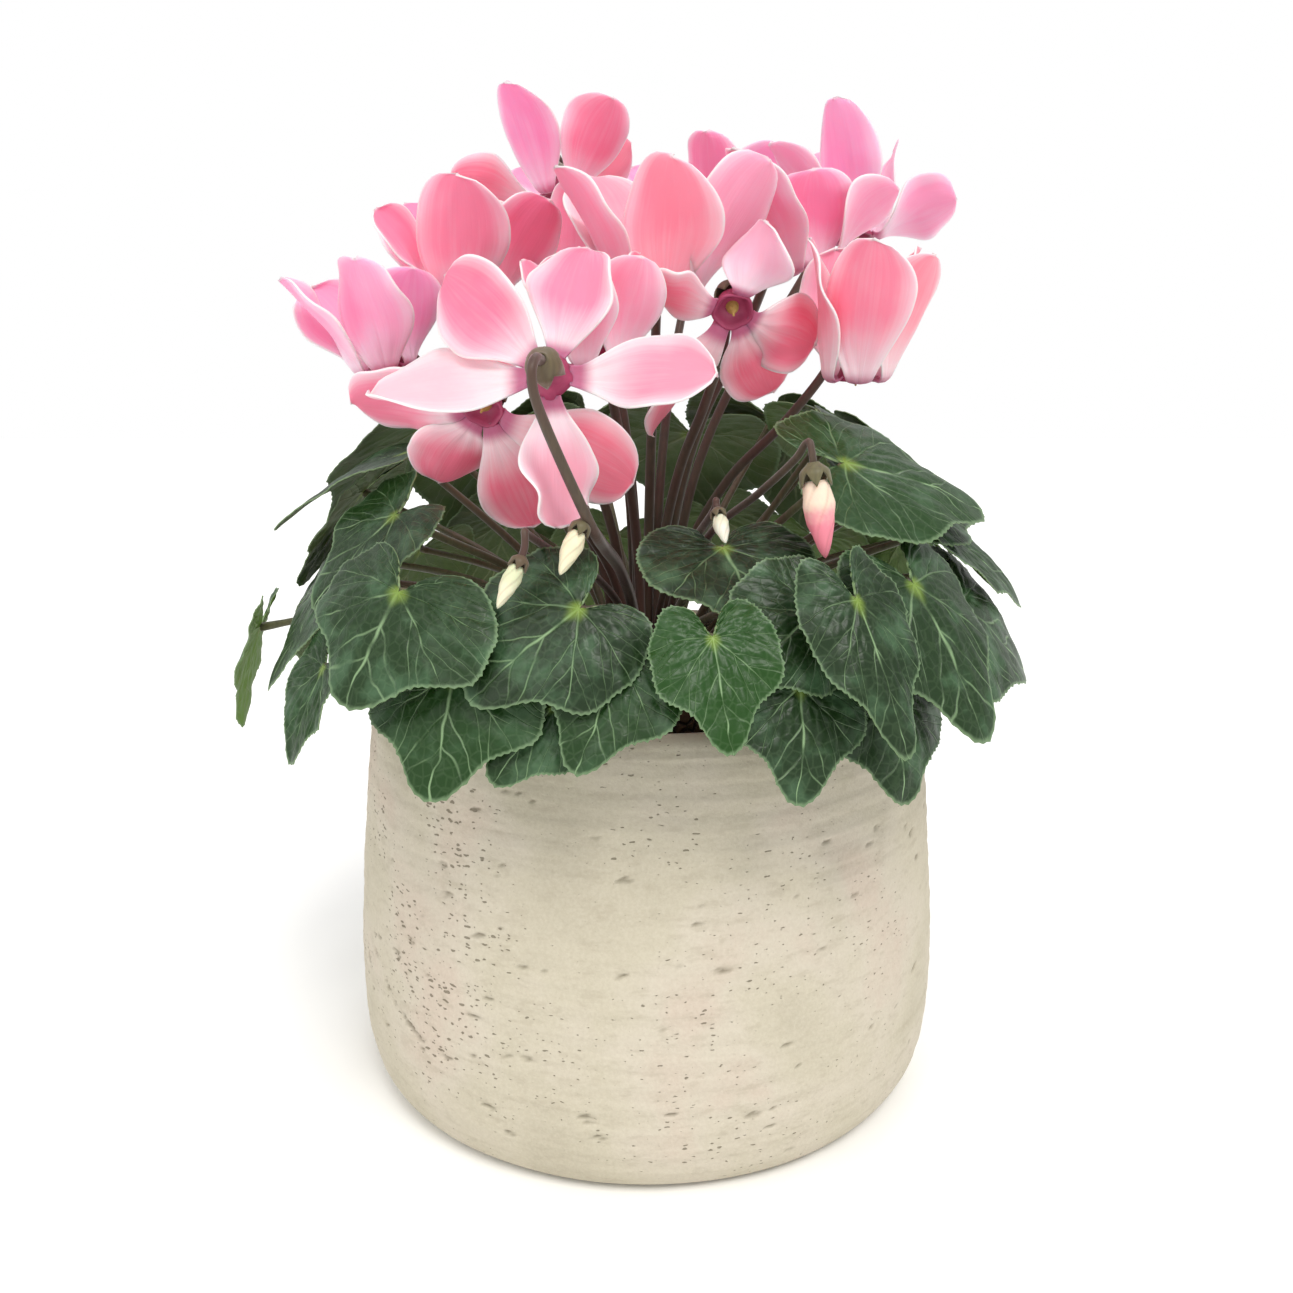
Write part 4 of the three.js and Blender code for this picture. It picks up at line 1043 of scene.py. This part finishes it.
def petal_points(bloom, petal, x, y):
    v = x
    u = (y + 1) / 2
    out, up, angle = petal_centre(petal, bloom["curl"])(u)
    zero = np.zeros_like(out)
    centre = np.stack([out, zero, up], 1)
    across = np.array([0, 1, 0])
    normal = np.stack([-np.cos(angle), zero, -np.sin(angle)], 1)
    twist = petal["twist"] * DEG * smooth((u - 0.08) / 0.7)
    cos, sin = np.cos(twist)[:, None], np.sin(twist)[:, None]
    widthways = across * cos + normal * sin
    face = normal * cos - across * sin
    half = petal_half_width(u, bloom["width"])
    seed = petal["seed"]
    half = half * (1 + PETAL_SWING * np.sin(u * (6 + 3 * draw(seed, 9)) + np.sign(v) * 2.1 + seed) * np.abs(v))
    centre = centre + across * (vary(seed, 10, PETAL_LEAN) * u * u)[:, None]
    cup = 0.22 * half * v * v
    ruffle = petal["ruffle"] * smooth((u - 0.25) / 0.5) * (1 - 0.6 * smooth((u - 0.85) / 0.15))
    wave = np.sin(u * (9 + 6 * draw(seed, 11)) + np.sign(v) * 1.3 + 6.3 * draw(seed, 5))
    wave = ruffle * np.abs(v) ** 2.5 * wave
    swell = PETAL_SWELL * np.sin(v * 2.4 + u * 5 + 6.3 * draw(seed, 6)) * smooth(u * 3)
    crease = np.sin(v * 13 + 3 * np.sin(u * 4 + seed)) * smooth(u * 4) * (1 - smooth((u - 0.8) / 0.2))
    swell += PETAL_CREASE * crease
    rib = PETAL_MIDRIB * np.exp(-(v / 0.10) ** 2) * (1 - smooth((u - 0.5) / 0.4)) * smooth(u * 6)
    points = centre + widthways * (v * half)[:, None] + face * (wave + swell - cup - rib)[:, None]
    return turned_about_z(points, petal["around"])


def petals_of(bloom, index):
    """The five petals of a bloom: its own value for each where it has them, and otherwise a seeded one."""
    petals = []
    for k in range(5):
        seed = 200 + 10 * index + k

        def own(key, otherwise):
            return bloom[key][k] if key in bloom else otherwise

        petals.append({
            "seed": seed,
            "around": bloom.get("spin", 180) + PETAL_SPACING * (k - 2) + vary(seed, 1, 3) + own("turns", 0),
            "open": own("opens", bloom.get("open", 0) + vary(seed, 2, 7)),
            "twist": own("twists", 28 + vary(seed, 3, 16)),
            "length": bloom["length"] * own("reach", 1 + vary(seed, 4, 0.06)),
            "ruffle": bloom.get("ruffle", 1.0),
            "tone": own("tones", min(1, max(0, bloom["tone"] + vary(seed, 7, 0.18)))),
            "wash": own("washes", 0.2 * draw(seed, 8) ** 2),
        })
    return petals


def mouth():
    """The flower's short tube with its rolled ring, and the cone of stamens with the style standing out."""
    profile = [(0.0, 0.2), (2.2, 0.2), (3.4, -0.2), (4.1, -1.6), (4.6, -3.4), (5.1, -5.0), (5.9, -6.3),
               (5.7, -6.9), (5.1, -6.8), (4.4, -5.6), (3.6, -4.4), (2.2, -3.8), (0.0, -3.6)]
    tube = spun("tube", profile, 30, THROAT)
    points = points_of(tube)
    turn = np.arctan2(points[:, 1], points[:, 0])
    points[:, :2] *= (1 + 0.05 * np.cos(5 * turn) * smooth(-points[:, 2] / 6))[:, None]
    move_points(tube, points)
    smooth_faces(tube)
    cone = [(0.0, -3.7), (1.9, -3.75), (1.7, -5.0), (0.8, -6.6), (0.35, -7.0), (0.32, -8.2), (0.0, -8.5)]
    stamens = spun("stamens", [(r, z) for r, z in reversed(cone)], 15, POLLEN)
    smooth_faces(stamens, 50)
    return joined(tube, stamens)


def bloom_piece(bloom, index):
    name = "bloom_%02d" % (index + 1)
    parts = []
    for petal in petals_of(bloom, index):
        blade = sheet(name + "_petal", PETAL_COLUMNS, PETAL_ROWS, lambda x, y: petal_points(bloom, petal, x, y),
                      PETAL_FRONT, PETAL_BACK, PETAL_BACK)
        closed(blade)
        thickened(blade, PETAL_THICKNESS)
        store(blade, "tone", petal["tone"])
        store(blade, "wash", petal["wash"])
        smooth_faces(blade)
        parts.append(blade)
    whole = joined(*parts, mouth())
    whole.name = whole.data.name = name + "_petals"
    place_piece(whole, bloom["at"], bloom["faces"])
    hand_over(whole, "petal", name)


def bud_piece(bud, index):
    """Five petals wound tightly round each other, each edge lying over the next."""
    length, width = bud["length"], bud["width"]
    stations = [(0.0, 0.30), (0.06, 0.40), (0.30, 0.50), (0.55, 0.42), (0.86, 0.20), (0.96, 0.09), (1.0, 0.0)]
    marks, shares = zip(*stations)

    def lay(x, y):
        t = (y + 1) / 2
        turn = math.pi * x
        lap = np.mod((turn + 2.6 * t) * 5 / (2 * math.pi), 1)
        fold = 0.94 + 0.08 * smooth(lap) * (1 - smooth((lap - 0.9) / 0.1))
        radius = width * np.interp(t, marks, shares) * fold
        return np.stack([radius * np.cos(turn), radius * np.sin(turn), -length * t], 1)

    made = sheet("bud_%d_petals" % (index + 1), 80, 26, lay, BUD_SKINS[index])
    t = points_of(made)[:, 2] / -length
    lap = np.mod((np.arctan2(*points_of(made)[:, 1::-1].T) + 2.6 * t) * 5 / (2 * math.pi), 1)
    store(made, "along", t)
    # the crease along each lapped edge, where the bud's material paints shade
    store(made, "fold", 1 - smooth(np.minimum(lap, 1 - lap) / 0.14))
    closed(made, turned_out=True, filled=True)
    smooth_faces(made, 60)
    place_piece(made, bud["at"], bud["points"])
    hand_over(made, "bud", "bud_%d" % (index + 1))


# ---------------- the whole plant in its pots, on the floor
cover_pot()
soil()
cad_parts["nursery_pot"].data.materials.clear()
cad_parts["nursery_pot"].data.materials.append(PLASTIC)
tuber_and_stalks()
for each_leaf in leaf_list():
    leaf_piece(each_leaf)
for number, each_bloom in enumerate(BLOOMS):
    bloom_piece(each_bloom, number)
for number, each_bud in enumerate(BUDS):
    bud_piece(each_bud, number)

nothing_selected()
bpy.ops.mesh.primitive_grid_add(x_subdivisions=12, y_subdivisions=12, size=FLOOR_SIZE)
floor = named("white_floor", PAPER)
